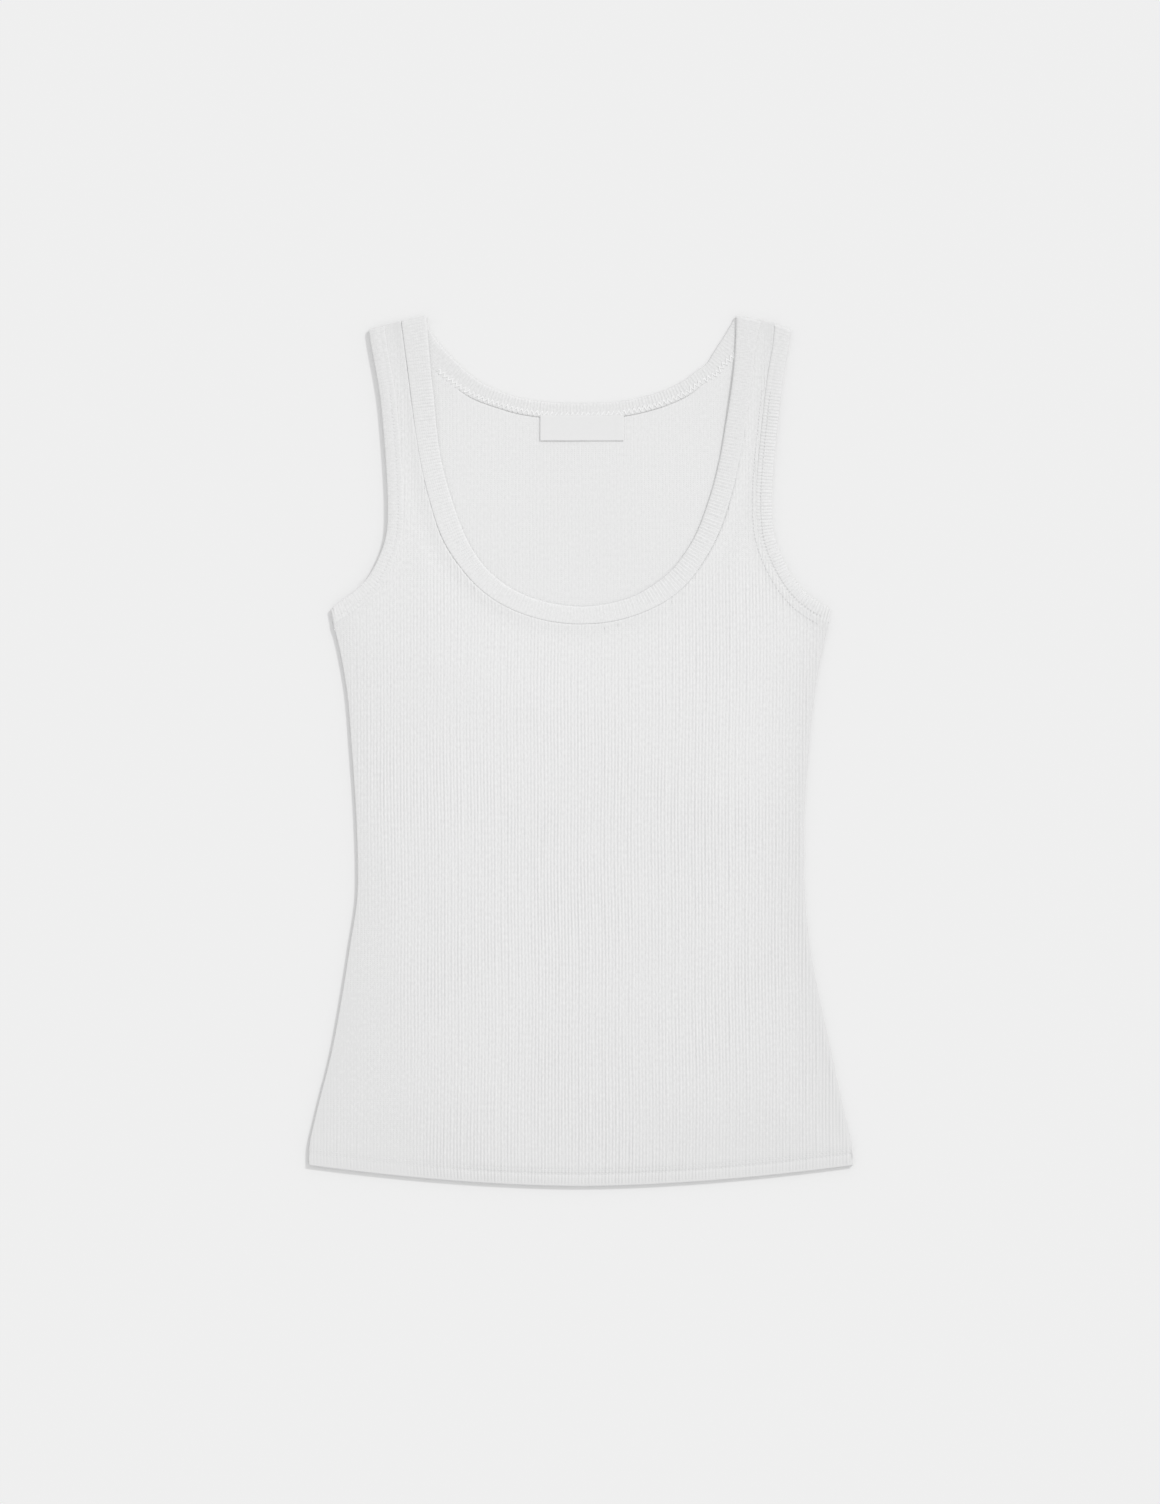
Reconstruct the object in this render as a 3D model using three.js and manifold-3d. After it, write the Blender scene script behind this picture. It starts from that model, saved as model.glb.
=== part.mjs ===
// A ribbed knit tank top, laid flat on its back with the front showing.
//
// Millimetres. +X points to the viewer's right, +Y from the hem to the neck, and +Z up from the
// surface that the garment lies on. The origin is in the middle of that surface, under the garment.
// While the pieces are made, y is the height above the lowest point of the hem, called "up" here.
// The group at the end moves the origin to the middle.
//
// The maker cuts a front, a back, one neck band, two arm bands and a label. The hem is turned up
// in the front and in the back themselves. Each band is a folded strip that runs round its whole
// opening: over the front, round the fold of the shoulder, and back under the front strap.
import * as THREE from "three";
import { mergeVertices } from "three/addons/utils/BufferGeometryUtils.js";
import Module from "manifold-3d";

const manifold = await Module();
manifold.setup();

// Driving dimensions
const LENGTH = 627; // lowest point of the hem to the top of the shoulder
const HALF_HEM = 195.6; // half of the hem's width
const HEM_RISE = 15.1; // how far the hem climbs from its middle to its corners
const HEM_POWER = 1.75; // the hem is nearly a parabola
const HEM_DEPTH = 13; // turned-up hem, edge to the last row of stitches
const CLOTH = 1.3; // wall of the rib knit, without the ribs
const RIB_RELIEF = 0.35; // a rib's crest above its valleys
const RIB_PITCH = 2.41; // one rib and one valley on the front
const BACK_RIB_PITCH = 2.52; // the back is stretched a little wider
const SEAM_GAP = 0.3;
const FOLD_CLEARANCE = 0.9; // between a panel and the round of a band's fold at the shoulder
const BAND_THICKNESS = 1.9; // a folded strip of the same knit
const ARM_BAND = 11; // width of the band round each armhole
const LABEL = { left: -29.9, right: 30.4, bottom: 535.4, top: 552.2, thickness: 1 };

// Heights of the layers above the surface
const FRONT_BASE = CLOTH + SEAM_GAP;
const FRONT_BAND_BASE = BAND_THICKNESS + SEAM_GAP;
const LABEL_BASE = CLOTH + RIB_RELIEF + SEAM_GAP;
const HEM_EXTRA = 0.5; // what the turned-up layer adds to each panel's thickness
const HEM_EASE = 11; // the front comes down from its thicker hem over this distance
const AIR = { rise: 2, run: 80 }; // the front stands off the back by this much, from this far in

// The side seams. Half widths from the middle, at each height.
const SIDE_SEAM = [
  { up: 15.1, left: 195.6, right: 195.6 },
  { up: 28.8, left: 195.3, right: 194.6 },
  { up: 54.0, left: 189.9, right: 188.8 },
  { up: 97.2, left: 179.1, right: 179.5 },
  { up: 140.4, left: 171.2, right: 170.1 },
  { up: 172.8, left: 166.1, right: 164.2 },
  { up: 205.2, left: 161.1, right: 160.9 },
  { up: 226.8, left: 160.4, right: 160.0 },
  { up: 270.0, left: 161.8, right: 160.4 },
  { up: 313.2, left: 164.7, right: 163.6 },
  { up: 356.4, left: 168.3, right: 168.0 },
  { up: 388.8, left: 174.1, right: 174.1 },
  { up: 406.8, left: 178.7, right: 178.2 },
  { up: 415.1, left: 180.2, right: 180.2 },
];

// The free edge of each armhole, from the armpit to the shoulder.
const ARMHOLE = [
  { up: 415.1, left: 180.2, right: 180.2 },
  { up: 420.5, left: 173.2, right: 170.3 },
  { up: 427.0, left: 164.0, right: 161.6 },
  { up: 434.2, left: 156.3, right: 155.0 },
  { up: 442.8, left: 149.9, right: 149.2 },
  { up: 451.4, left: 145.6, right: 144.9 },
  { up: 460.1, left: 142.0, right: 141.3 },
  { up: 472.0, left: 139.3, right: 138.2 },
  { up: 493.2, left: 138.7, right: 137.0 },
  { up: 511.9, left: 139.5, right: 137.8 },
  { up: 537.8, left: 141.3, right: 140.2 },
  { up: 568.0, left: 144.2, right: 143.5 },
  { up: 589.7, left: 147.8, right: 146.5 },
  { up: 607.0, left: 151.0, right: 149.7 },
  { up: 616.8, left: 152.5, right: 150.9 },
];

// The fold of each shoulder: its outer end is at the armhole, its inner end at the neck.
const SHOULDER = {
  left: { outer: { across: 152.5, up: 617.0 }, inner: { across: 111.4, up: 627.0 } },
  right: { outer: { across: 150.9, up: 618.4 }, inner: { across: 111.8, up: 627.0 } },
};
const NECK_BAND_AT_SHOULDER = 18.6;

// The free edge of the front neckline, and the seam under its band.
const FRONT_NECK_EDGE = [
  { up: 608.4, left: 109.8, right: 111.1 },
  { up: 586.8, left: 108.0, right: 109.3 },
  { up: 568.1, left: 105.9, right: 106.9 },
  { up: 543.6, left: 103.6, right: 102.9 },
  { up: 524.2, left: 100.8, right: 99.5 },
  { up: 499.7, left: 94.6, right: 93.4 },
  { up: 470.9, left: 84.4, right: 83.0 },
  { up: 456.5, left: 77.0, right: 74.9 },
  { up: 443.5, left: 67.0, right: 65.0 },
  { up: 432.0, left: 52.9, right: 50.9 },
  { up: 422.6, left: 32.9, right: 32.6 },
];
const FRONT_NECK_EDGE_LOWEST = 417.2;
const FRONT_NECK_SEAM = [
  { up: 608.4, left: 127.6, right: 126.4 },
  { up: 586.8, left: 124.7, right: 123.7 },
  { up: 568.1, left: 122.4, right: 121.4 },
  { up: 543.6, left: 119.2, right: 117.8 },
  { up: 524.2, left: 116.1, right: 114.3 },
  { up: 499.7, left: 110.7, right: 108.9 },
  { up: 470.9, left: 101.8, right: 99.5 },
  { up: 456.5, left: 94.5, right: 92.3 },
  { up: 439.1, left: 81.7, right: 81.0 },
  { up: 429.1, left: 71.9, right: 71.8 },
  { up: 420.3, left: 59.9, right: 59.9 },
  { up: 412.2, left: 43.0, right: 43.0 },
  { up: 406.4, left: 22.1, right: 22.5 },
];
const FRONT_NECK_SEAM_LOWEST = 404.5;

// The free edge of the back neckline. Its band is as wide as the front's at the shoulder, and
// narrower across the back.
const BACK_NECK_EDGE = [
  { up: 617.0, left: 109.0, right: 106.2 },
  { up: 608.4, left: 103.3, right: 100.8 },
  { up: 599.8, left: 96.0, right: 94.8 },
  { up: 592.6, left: 88.8, right: 88.4 },
  { up: 585.4, left: 81.3, right: 81.0 },
  { up: 579.2, left: 72.9, right: 73.0 },
  { up: 573.1, left: 60.5, right: 60.3 },
  { up: 568.4, left: 47.4, right: 45.6 },
  { up: 565.0, left: 29.6, right: 28.5 },
];
const BACK_NECK_EDGE_LOWEST = 563.6;
const BACK_BAND_WIDTH = [
  { along: 0, width: NECK_BAND_AT_SHOULDER },
  { along: 0.1, width: 17.4 },
  { along: 0.2, width: 14 },
  { along: 0.3, width: 11.6 },
  { along: 0.5, width: 11 },
];

// Soft swells and hollows of the front: where each is, how far it spreads, and how high it stands.
const SWELLS = [
  { across: -95, up: 120, wide: 60, long: 95, rise: 0.7 },
  { across: -40, up: 55, wide: 34, long: 42, rise: -0.6 },
  { across: 60, up: 95, wide: 48, long: 90, rise: 0.5 },
  { across: 20, up: 235, wide: 75, long: 60, rise: -0.5 },
  { across: -70, up: 330, wide: 42, long: 80, rise: 0.6 },
  { across: 85, up: 345, wide: 40, long: 75, rise: 0.5 },
];

const SIDES = [
  { name: "left", sign: -1 },
  { name: "right", sign: 1 },
];

// Plane curves

const at = (row, side, sign) => new THREE.Vector3(sign * row[side], row.up, 0);
const smooth = (points) => new THREE.CatmullRomCurve3(points, false, "centripetal");
const sideCurve = (table, { name, sign }) => smooth(table.map((row) => at(row, name, sign)));

// A neckline from the left shoulder, down through its lowest point, to the right shoulder.
function neckCurve(table, lowest, leftEnd, rightEnd) {
  const left = table.map((row) => at(row, "left", -1));
  const right = table.map((row) => at(row, "right", 1)).reverse();
  return smooth([leftEnd, ...left, new THREE.Vector3(0, lowest, 0), ...right, rightEnd]);
}

const hemAt = (x) => HEM_RISE * Math.pow(Math.min(1, Math.abs(x) / HALF_HEM), HEM_POWER);

// Each point moved sideways off its line, to the left of the way that the line runs.
function besideLine(points, distanceAt) {
  return points.map((p, i) => {
    const before = points[Math.max(0, i - 1)];
    const after = points[Math.min(points.length - 1, i + 1)];
    const along = after.clone().sub(before).normalize();
    return p.clone().add(new THREE.Vector3(-along.y, along.x, 0).multiplyScalar(distanceAt(i)));
  });
}

function widthAlong(table, along) {
  const share = Math.min(along, 1 - along);
  const next = Math.max(1, table.findIndex((row) => row.along >= share));
  const [a, b] = [table[next - 1], table[next]];
  return THREE.MathUtils.mapLinear(share, a.along, b.along, a.width, b.width);
}

// The corner points of the shoulders' folds.

const shoulderPoint = ({ name, sign }, end) =>
  new THREE.Vector3(sign * SHOULDER[name][end].across, SHOULDER[name][end].up, 0);

// A point on the shoulder's fold, this far from its inner or outer end.
function onShoulder(side, end, distance) {
  const start = shoulderPoint(side, end);
  const other = shoulderPoint(side, end === "inner" ? "outer" : "inner");
  return start.clone().add(other.sub(start).setLength(distance));
}

// Solids

// A three.js geometry from rows of points and triangles of their numbers.
function geometryOf(points, triangles) {
  const made = new THREE.BufferGeometry();
  made.setAttribute("position", new THREE.Float32BufferAttribute(points.flatMap((p) => [...p]), 3));
  made.setIndex(triangles.flat());
  return made;
}

function signedVolume(points, triangles) {
  const volume = ([a, b, c]) => points[a].dot(points[b].clone().cross(points[c])) / 6;
  return triangles.reduce((sum, triangle) => sum + volume(triangle), 0);
}

// The closed solid of a mesh, facing out whichever way its triangles were listed.
function solidOf(points, triangles) {
  const facing = signedVolume(points, triangles) < 0 ? triangles.map(([a, b, c]) => [a, c, b]) : triangles;
  const merged = mergeVertices(geometryOf(points, facing), 1e-4);
  return new manifold.Manifold(
    new manifold.Mesh({
      numProp: 3,
      vertProperties: merged.attributes.position.array,
      triVerts: new Uint32Array(merged.index.array),
    }),
  );
}

// Triangles between two closed rings of as many points.
function bridge(first, second, count) {
  const triangles = [];
  for (let i = 0; i < count; i++) {
    const j = (i + 1) % count;
    triangles.push([first + i, first + j, second + j], [first + i, second + j, second + i]);
  }
  return triangles;
}

// Everything under (or over) a surface: a grid of heights, closed by a flat face at height "flat".
// Columns stand at xs. Row v follows the hem's curve at the bottom and is straight at the top.
function sideOfSurface(xs, rows, heightAt, flat) {
  const points = [];
  for (const v of rows)
    xs.forEach((x, i) => {
      const up = v + hemAt(x) * (1 - v / LENGTH);
      points.push(new THREE.Vector3(x, up, heightAt(x, up, i)));
    });
  const [across, count] = [xs.length, rows.length];
  const triangles = [];
  for (let j = 0; j + 1 < count; j++)
    for (let i = 0; i + 1 < across; i++) {
      const a = j * across + i;
      triangles.push([a, a + 1, a + across + 1], [a, a + across + 1, a + across]);
    }
  const rim = [];
  for (let i = 0; i < across - 1; i++) rim.push(i);
  for (let j = 0; j < count - 1; j++) rim.push(j * across + across - 1);
  for (let i = across - 1; i > 0; i--) rim.push((count - 1) * across + i);
  for (let j = count - 1; j > 0; j--) rim.push(j * across);
  const foot = points.length;
  for (const n of rim) points.push(new THREE.Vector3(points[n].x, points[n].y, flat));
  points.push(new THREE.Vector3(0, LENGTH / 2, flat));
  const middle = points.length - 1;
  rim.forEach((n, i) => {
    const j = (i + 1) % rim.length;
    triangles.push([rim[j], n, foot + i], [rim[j], foot + i, foot + j]);
    triangles.push([foot + i, middle, foot + j]);
  });
  return solidOf(points, triangles);
}

// An outline raised through several levels, each with its own inset and height.
function raisedOutline(outline, levels, liftAt = () => 0) {
  const count = outline.length;
  const inward = outline.map((p, i) => {
    const before = outline[(i + count - 1) % count];
    const after = outline[(i + 1) % count];
    const [a, b] = [p.clone().sub(before).normalize(), after.clone().sub(p).normalize()];
    const normal = new THREE.Vector3(-a.y - b.y, a.x + b.x, 0).normalize();
    const halfTurn = Math.max(0.5, normal.dot(new THREE.Vector3(-a.y, a.x, 0)));
    return normal.divideScalar(halfTurn);
  });
  const points = [];
  for (const { inset, z, lifted } of levels)
    outline.forEach((p, i) => {
      const moved = p.clone().addScaledVector(inward[i], inset);
      points.push(moved.setZ(z + (lifted ? liftAt(p.x, p.y) : 0)));
    });
  const triangles = [];
  for (let k = 0; k + 1 < levels.length; k++)
    triangles.push(...bridge(k * count, (k + 1) * count, count));
  const cap = THREE.ShapeUtils.triangulateShape(outline.map((p) => new THREE.Vector2(p.x, p.y)), []);
  const last = (levels.length - 1) * count;
  triangles.push(...cap.map(([a, b, c]) => [a, c, b]));
  triangles.push(...cap.map((corners) => corners.map((n) => last + n)));
  return solidOf(points, triangles);
}

// Outlines of the panels, anticlockwise from the left corner of the hem

const HEM_POINTS = 26;
const SIDE_POINTS = 16;
const ARMHOLE_POINTS = 22;
const NECK_POINTS = 44;

const armhole = Object.fromEntries(
  SIDES.map((side) => [side.name, sideCurve(ARMHOLE, side).getSpacedPoints(ARMHOLE_POINTS)]),
);

// The seam of an arm band: its ends lie on the side seam and on the shoulder's fold.
function armholeSeam(side, distance) {
  const inward = side.sign > 0 ? distance : -distance;
  const line = besideLine(armhole[side.name], () => inward);
  const armpit = armhole[side.name][0];
  const down = sideCurve(SIDE_SEAM, side).getPoints(200).reverse();
  line[0] = down.find((p) => p.distanceTo(armpit) >= distance).clone();
  line[line.length - 1] = onShoulder(side, "outer", distance);
  return line;
}

const frontNeckEdge = neckCurve(
  FRONT_NECK_EDGE,
  FRONT_NECK_EDGE_LOWEST,
  shoulderPoint(SIDES[0], "inner"),
  shoulderPoint(SIDES[1], "inner"),
).getSpacedPoints(NECK_POINTS);
const frontNeckSeam = neckCurve(
  FRONT_NECK_SEAM,
  FRONT_NECK_SEAM_LOWEST,
  onShoulder(SIDES[0], "inner", NECK_BAND_AT_SHOULDER),
  onShoulder(SIDES[1], "inner", NECK_BAND_AT_SHOULDER),
).getSpacedPoints(NECK_POINTS);
const backNeckEdge = neckCurve(
  BACK_NECK_EDGE,
  BACK_NECK_EDGE_LOWEST,
  shoulderPoint(SIDES[0], "inner"),
  shoulderPoint(SIDES[1], "inner"),
).getSpacedPoints(NECK_POINTS);
const backNeckSeam = besideLine(backNeckEdge, (i) => -widthAlong(BACK_BAND_WIDTH, i / NECK_POINTS));
SIDES.forEach((side, end) => {
  backNeckSeam[end * NECK_POINTS] = onShoulder(side, "inner", NECK_BAND_AT_SHOULDER);
});

// A panel with its neck seam, from the left shoulder to the right one, as its upper edge.
function panelOutline(neckSeam) {
  const [left, right] = SIDES;
  const armSeam = (side) => {
    const line = armholeSeam(side, ARM_BAND + SEAM_GAP);
    line[line.length - 1] = onShoulder(side, "outer", ARM_BAND + FOLD_CLEARANCE);
    return line;
  };
  const sideSeam = (side) => {
    const top = armholeSeam(side, ARM_BAND + SEAM_GAP)[0];
    const line = sideCurve(SIDE_SEAM, side).getSpacedPoints(SIDE_POINTS * 2);
    return line.filter((p, i) => i % 2 === 0 && p.y < top.y - 4);
  };
  const hem = [];
  for (let i = 1; i < HEM_POINTS; i++) {
    const x = HALF_HEM * ((2 * i) / HEM_POINTS - 1);
    hem.push(new THREE.Vector3(x, hemAt(x), 0));
  }
  const neck = besideLine(neckSeam, () => -SEAM_GAP);
  neck[0] = onShoulder(left, "inner", NECK_BAND_AT_SHOULDER + FOLD_CLEARANCE);
  neck[neck.length - 1] = onShoulder(right, "inner", NECK_BAND_AT_SHOULDER + FOLD_CLEARANCE);
  return [
    ...hem,
    ...sideSeam(right),
    ...armSeam(right),
    ...neck.reverse(),
    ...armSeam(left).reverse(),
    ...sideSeam(left).reverse(),
  ];
}

const frontOutline = panelOutline(frontNeckSeam);
const backOutline = panelOutline(backNeckSeam);

// Heights of the front

function distanceToOutline(outline, x, up) {
  let nearest = Infinity;
  outline.forEach((a, i) => {
    const b = outline[(i + 1) % outline.length];
    const [dx, dy] = [b.x - a.x, b.y - a.y];
    const share = THREE.MathUtils.clamp(((x - a.x) * dx + (up - a.y) * dy) / (dx * dx + dy * dy), 0, 1);
    nearest = Math.min(nearest, Math.hypot(x - a.x - share * dx, up - a.y - share * dy));
  });
  return nearest;
}

// How far the front stands above its flat level: the air under it, and its swells.
function loft(x, up) {
  const inside = THREE.MathUtils.smoothstep(distanceToOutline(frontOutline, x, up), 0, AIR.run);
  const swells = SWELLS.reduce((sum, { across, up: middle, wide, long, rise }) => {
    const away = ((x - across) / wide) ** 2 + ((up - middle) / long) ** 2;
    return sum + rise * Math.exp(-away);
  }, 0);
  return inside * (AIR.rise + swells);
}

const hemLift = (x, up) => {
  const above = up - hemAt(x);
  return 1 - THREE.MathUtils.smoothstep(above, HEM_DEPTH, HEM_DEPTH + HEM_EASE);
};

// The columns of a ribbed surface: even ones are valleys, odd ones crests.
function ribColumns(pitch, halfWidth) {
  const count = 2 * Math.ceil(halfWidth / pitch);
  return Array.from({ length: 2 * count + 1 }, (_, i) => ((i - count) * pitch) / 2);
}
const ribHeight = (i) => (i % 2 ? RIB_RELIEF : 0);

const TALL = 30;
const BEYOND = 6;
const FRONT_ROWS = [-BEYOND, HEM_DEPTH, HEM_DEPTH + HEM_EASE, 75, 150, 225, 300, 370, 430, 520, LENGTH + BEYOND];
const COARSE_COLUMNS = Array.from({ length: 17 }, (_, i) => (i - 8) * 25);

function frontPanel() {
  const body = raisedOutline(
    frontOutline,
    [
      { inset: 0, z: FRONT_BASE - 1 },
      { inset: 0, z: FRONT_BASE + 0.7, lifted: true },
      { inset: 1.4, z: FRONT_BASE + CLOTH + RIB_RELIEF + 1, lifted: true },
      { inset: 1.4, z: TALL },
    ],
    (x, up) => 2 * HEM_EXTRA * hemLift(x, up),
  );
  const top = (x, up, i) =>
    FRONT_BASE + CLOTH + loft(x, up) + 2 * HEM_EXTRA * hemLift(x, up) + ribHeight(i);
  const inside = (x, up) => FRONT_BASE + loft(x, up) + HEM_EXTRA * hemLift(x, up);
  const underTop = sideOfSurface(ribColumns(RIB_PITCH, HALF_HEM + BEYOND), FRONT_ROWS, top, -TALL);
  const overInside = sideOfSurface(COARSE_COLUMNS, FRONT_ROWS, inside, 2 * TALL);
  return body.intersect(underTop).intersect(overInside);
}

// The back lies flat. Its ribs are raised where the neck opening shows its inner face, and it is
// thicker where its own hem is turned up.
function backPanel() {
  const flat = raisedOutline(backOutline, [
    { inset: 0.35, z: 0 },
    { inset: 0, z: 0.4 },
    { inset: 0, z: CLOTH },
  ]);
  const hemTop = CLOTH + HEM_EXTRA;
  const corner = SIDE_SEAM[0];
  const hemStrip = [];
  for (let i = 0; i <= HEM_POINTS; i++) {
    const x = (corner.right - 0.5) * ((2 * i) / HEM_POINTS - 1);
    hemStrip.push(new THREE.Vector3(x, hemAt(x) + 0.4, 0));
  }
  const upper = hemStrip.map((p) => new THREE.Vector3(p.x, p.y + HEM_DEPTH, 0)).reverse();
  const turnedUp = raisedOutline(
    [...hemStrip, ...upper],
    [
      { inset: 0, z: CLOTH / 2 },
      { inset: 0, z: hemTop - 0.3 },
      { inset: 0.3, z: hemTop },
    ],
  );
  const underBand = frontNeckEdge.map((p, i) => p.clone().lerp(frontNeckSeam[i], 0.4));
  const window = raisedOutline(underBand, [
    { inset: 0, z: CLOTH / 2 },
    { inset: 0, z: TALL },
  ]);
  const clearOfBand = raisedOutline(backOutline, [
    { inset: 0.2, z: CLOTH / 2 },
    { inset: 0.2, z: TALL },
  ]);
  const ribs = sideOfSurface(
    ribColumns(BACK_RIB_PITCH, NECK_BAND_AT_SHOULDER + SHOULDER.left.inner.across),
    [380, LENGTH + BEYOND],
    (x, up, i) => CLOTH + ribHeight(i),
    -TALL,
  );
  return flat.add(turnedUp.intersect(tallOf(backOutline))).add(ribs.intersect(window).intersect(clearOfBand));
}

const tallOf = (outline) =>
  raisedOutline(outline, [
    { inset: 0.1, z: 0.1 },
    { inset: 0.1, z: TALL },
  ]);

// Bands

// The section of a folded strip: "across" from its first edge to its second as a share of the
// width and a distance in from that edge, and its height above the strip's inner face.
const ROUNDED = 0.6;
const STRIP_SECTION = [
  { share: 0, inset: ROUNDED, height: 0 },
  { share: 0, inset: 0, height: 0.3 * BAND_THICKNESS },
  { share: 0, inset: 0, height: 0.7 * BAND_THICKNESS },
  { share: 0, inset: ROUNDED, height: BAND_THICKNESS },
  { share: 1, inset: -ROUNDED, height: BAND_THICKNESS },
  { share: 1, inset: 0, height: 0.7 * BAND_THICKNESS },
  { share: 1, inset: 0, height: 0.3 * BAND_THICKNESS },
  { share: 1, inset: -ROUNDED, height: 0 },
];
const FOLD_HEIGHT = (FRONT_BAND_BASE + BAND_THICKNESS) / 2;
const FOLD_GAP = SEAM_GAP / 2;
const FOLD_REACH = BAND_THICKNESS + FOLD_GAP;
const FOLD_STEPS = 6;

// One section of a strip that lies flat, on the upper or the lower layer.
function flatSection(first, second, upper) {
  const across = second.clone().sub(first);
  const unit = across.clone().normalize();
  return STRIP_SECTION.map(({ share, inset, height }) =>
    first
      .clone()
      .addScaledVector(across, share)
      .addScaledVector(unit, inset)
      .setZ(upper ? FRONT_BAND_BASE + height : BAND_THICKNESS - height),
  );
}

// The sections that carry a strip over a fold, from the upper layer down to the lower one.
function foldSections(first, second, outward) {
  const sections = [];
  for (let step = 0; step <= FOLD_STEPS; step++) {
    const angle = (Math.PI * step) / FOLD_STEPS;
    sections.push(
      flatSection(first, second, true).map((p) => {
        const reach = p.z - FRONT_BAND_BASE + FOLD_GAP;
        return p
          .clone()
          .addScaledVector(outward, reach * Math.sin(angle))
          .setZ(FOLD_HEIGHT + reach * Math.cos(angle));
      }),
    );
  }
  return sections;
}

function ringOfSections(sections) {
  const count = STRIP_SECTION.length;
  const triangles = sections.flatMap((_, i) =>
    bridge(i * count, ((i + 1) % sections.length) * count, count),
  );
  return solidOf(sections.flat(), triangles);
}

// A fold's line, set back so that the round of the fold ends on the garment's outline.
function foldLine(first, second, inside) {
  const across = second.clone().sub(first).normalize();
  const outward = new THREE.Vector3(-across.y, across.x, 0);
  if (outward.dot(inside.clone().sub(first)) > 0) outward.negate();
  const back = (p) => p.clone().addScaledVector(outward, -FOLD_REACH);
  return { first: back(first), second: back(second), outward };
}

function neckBand() {
  const [left, right] = SIDES.map((side) =>
    foldLine(
      shoulderPoint(side, "inner"),
      onShoulder(side, "inner", NECK_BAND_AT_SHOULDER),
      new THREE.Vector3(),
    ),
  );
  const sections = [];
  for (let i = 1; i < NECK_POINTS; i++)
    sections.push(flatSection(frontNeckEdge[i], frontNeckSeam[i], true));
  sections.push(...foldSections(right.first, right.second, right.outward));
  for (let i = NECK_POINTS - 1; i > 0; i--)
    sections.push(flatSection(backNeckEdge[i], backNeckSeam[i], false));
  sections.push(...foldSections(left.first, left.second, left.outward).reverse());
  return ringOfSections(sections);
}

function armBand(side) {
  const free = armhole[side.name];
  const seam = armholeSeam(side, ARM_BAND);
  const last = free.length - 1;
  const middle = new THREE.Vector3(0, LENGTH / 2, 0);
  const shoulder = foldLine(free[last], seam[last], middle);
  const armpit = foldLine(free[0], seam[0], middle);
  const sections = [];
  for (let i = last - 1; i > 0; i--) sections.push(flatSection(free[i], seam[i], true));
  sections.push(...foldSections(armpit.first, armpit.second, armpit.outward));
  for (let i = 1; i < last; i++) sections.push(flatSection(free[i], seam[i], false));
  sections.push(...foldSections(shoulder.first, shoulder.second, shoulder.outward).reverse());
  return ringOfSections(sections);
}

function label() {
  const { left, right, bottom, top, thickness } = LABEL;
  const corners = [
    new THREE.Vector3(left, bottom, 0),
    new THREE.Vector3(right, bottom, 0),
    new THREE.Vector3(right, top, 0),
    new THREE.Vector3(left, top, 0),
  ];
  return raisedOutline(corners, [
    { inset: 0.2, z: LABEL_BASE },
    { inset: 0, z: LABEL_BASE + 0.3 * thickness },
    { inset: 0, z: LABEL_BASE + 0.7 * thickness },
    { inset: 0.2, z: LABEL_BASE + thickness },
  ]);
}

// The garment

const knit = () => new THREE.MeshStandardMaterial({ color: 0xf0f0ee, roughness: 0.9, metalness: 0 });
const satin = new THREE.MeshStandardMaterial({ color: 0xf6f6f5, roughness: 0.5, metalness: 0 });

function meshOf(name, solid, material) {
  const { vertProperties, triVerts, numProp } = solid.getMesh();
  const made = new THREE.BufferGeometry();
  made.setAttribute("position", new THREE.InterleavedBufferAttribute(
    new THREE.InterleavedBuffer(vertProperties, numProp), 3, 0,
  ));
  made.setIndex(new THREE.BufferAttribute(triVerts, 1));
  const flat = made.toNonIndexed();
  flat.computeVertexNormals();
  const mesh = new THREE.Mesh(flat, material);
  mesh.name = name;
  return mesh;
}

const garment = new THREE.Group();
garment.add(meshOf("front_panel", frontPanel(), knit()));
garment.add(meshOf("back_panel", backPanel(), knit()));
garment.add(meshOf("neck_band", neckBand(), knit()));
for (const side of SIDES) garment.add(meshOf(`arm_band_${side.name}`, armBand(side), knit()));
garment.add(meshOf("label", label(), satin));
const extent = new THREE.Box3().setFromObject(garment);
garment.position.y = -(extent.min.y + extent.max.y) / 2;

export default garment;
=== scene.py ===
# %% [markdown]
# # A ribbed tank top, laid out flat
#
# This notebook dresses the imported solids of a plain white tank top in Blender. The garment is knitted
# in fine vertical ribs, bound round the neck and the armholes with folded strips of the same knit,
# and hemmed with two rows of stitches. It lies on its back with the front up, seen from above.
#
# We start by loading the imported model. It is our fixed frame: every piece that we make has to lie
# where its solid lies. Blender works in metres, but a garment is cut in millimetres, so we make
# everything in millimetres and turn it into metres at the last moment.

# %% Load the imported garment
import math

import bpy
import numpy as np
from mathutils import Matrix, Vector
from mathutils.geometry import delaunay_2d_cdt
from mathutils.kdtree import KDTree


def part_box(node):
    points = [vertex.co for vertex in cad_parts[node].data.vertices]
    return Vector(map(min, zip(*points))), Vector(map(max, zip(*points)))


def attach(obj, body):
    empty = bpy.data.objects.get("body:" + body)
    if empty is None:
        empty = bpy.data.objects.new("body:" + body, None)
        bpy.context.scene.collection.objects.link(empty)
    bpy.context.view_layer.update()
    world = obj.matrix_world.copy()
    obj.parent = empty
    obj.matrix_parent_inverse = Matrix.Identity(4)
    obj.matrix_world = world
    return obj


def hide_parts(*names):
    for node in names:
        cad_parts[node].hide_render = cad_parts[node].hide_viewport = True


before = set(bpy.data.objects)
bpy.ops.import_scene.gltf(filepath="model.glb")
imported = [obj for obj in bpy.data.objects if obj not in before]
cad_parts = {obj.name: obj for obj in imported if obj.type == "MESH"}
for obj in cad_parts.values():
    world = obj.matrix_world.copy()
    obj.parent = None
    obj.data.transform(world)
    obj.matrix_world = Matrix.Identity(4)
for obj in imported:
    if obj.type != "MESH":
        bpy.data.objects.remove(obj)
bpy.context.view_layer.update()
MM = 0.001
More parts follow.
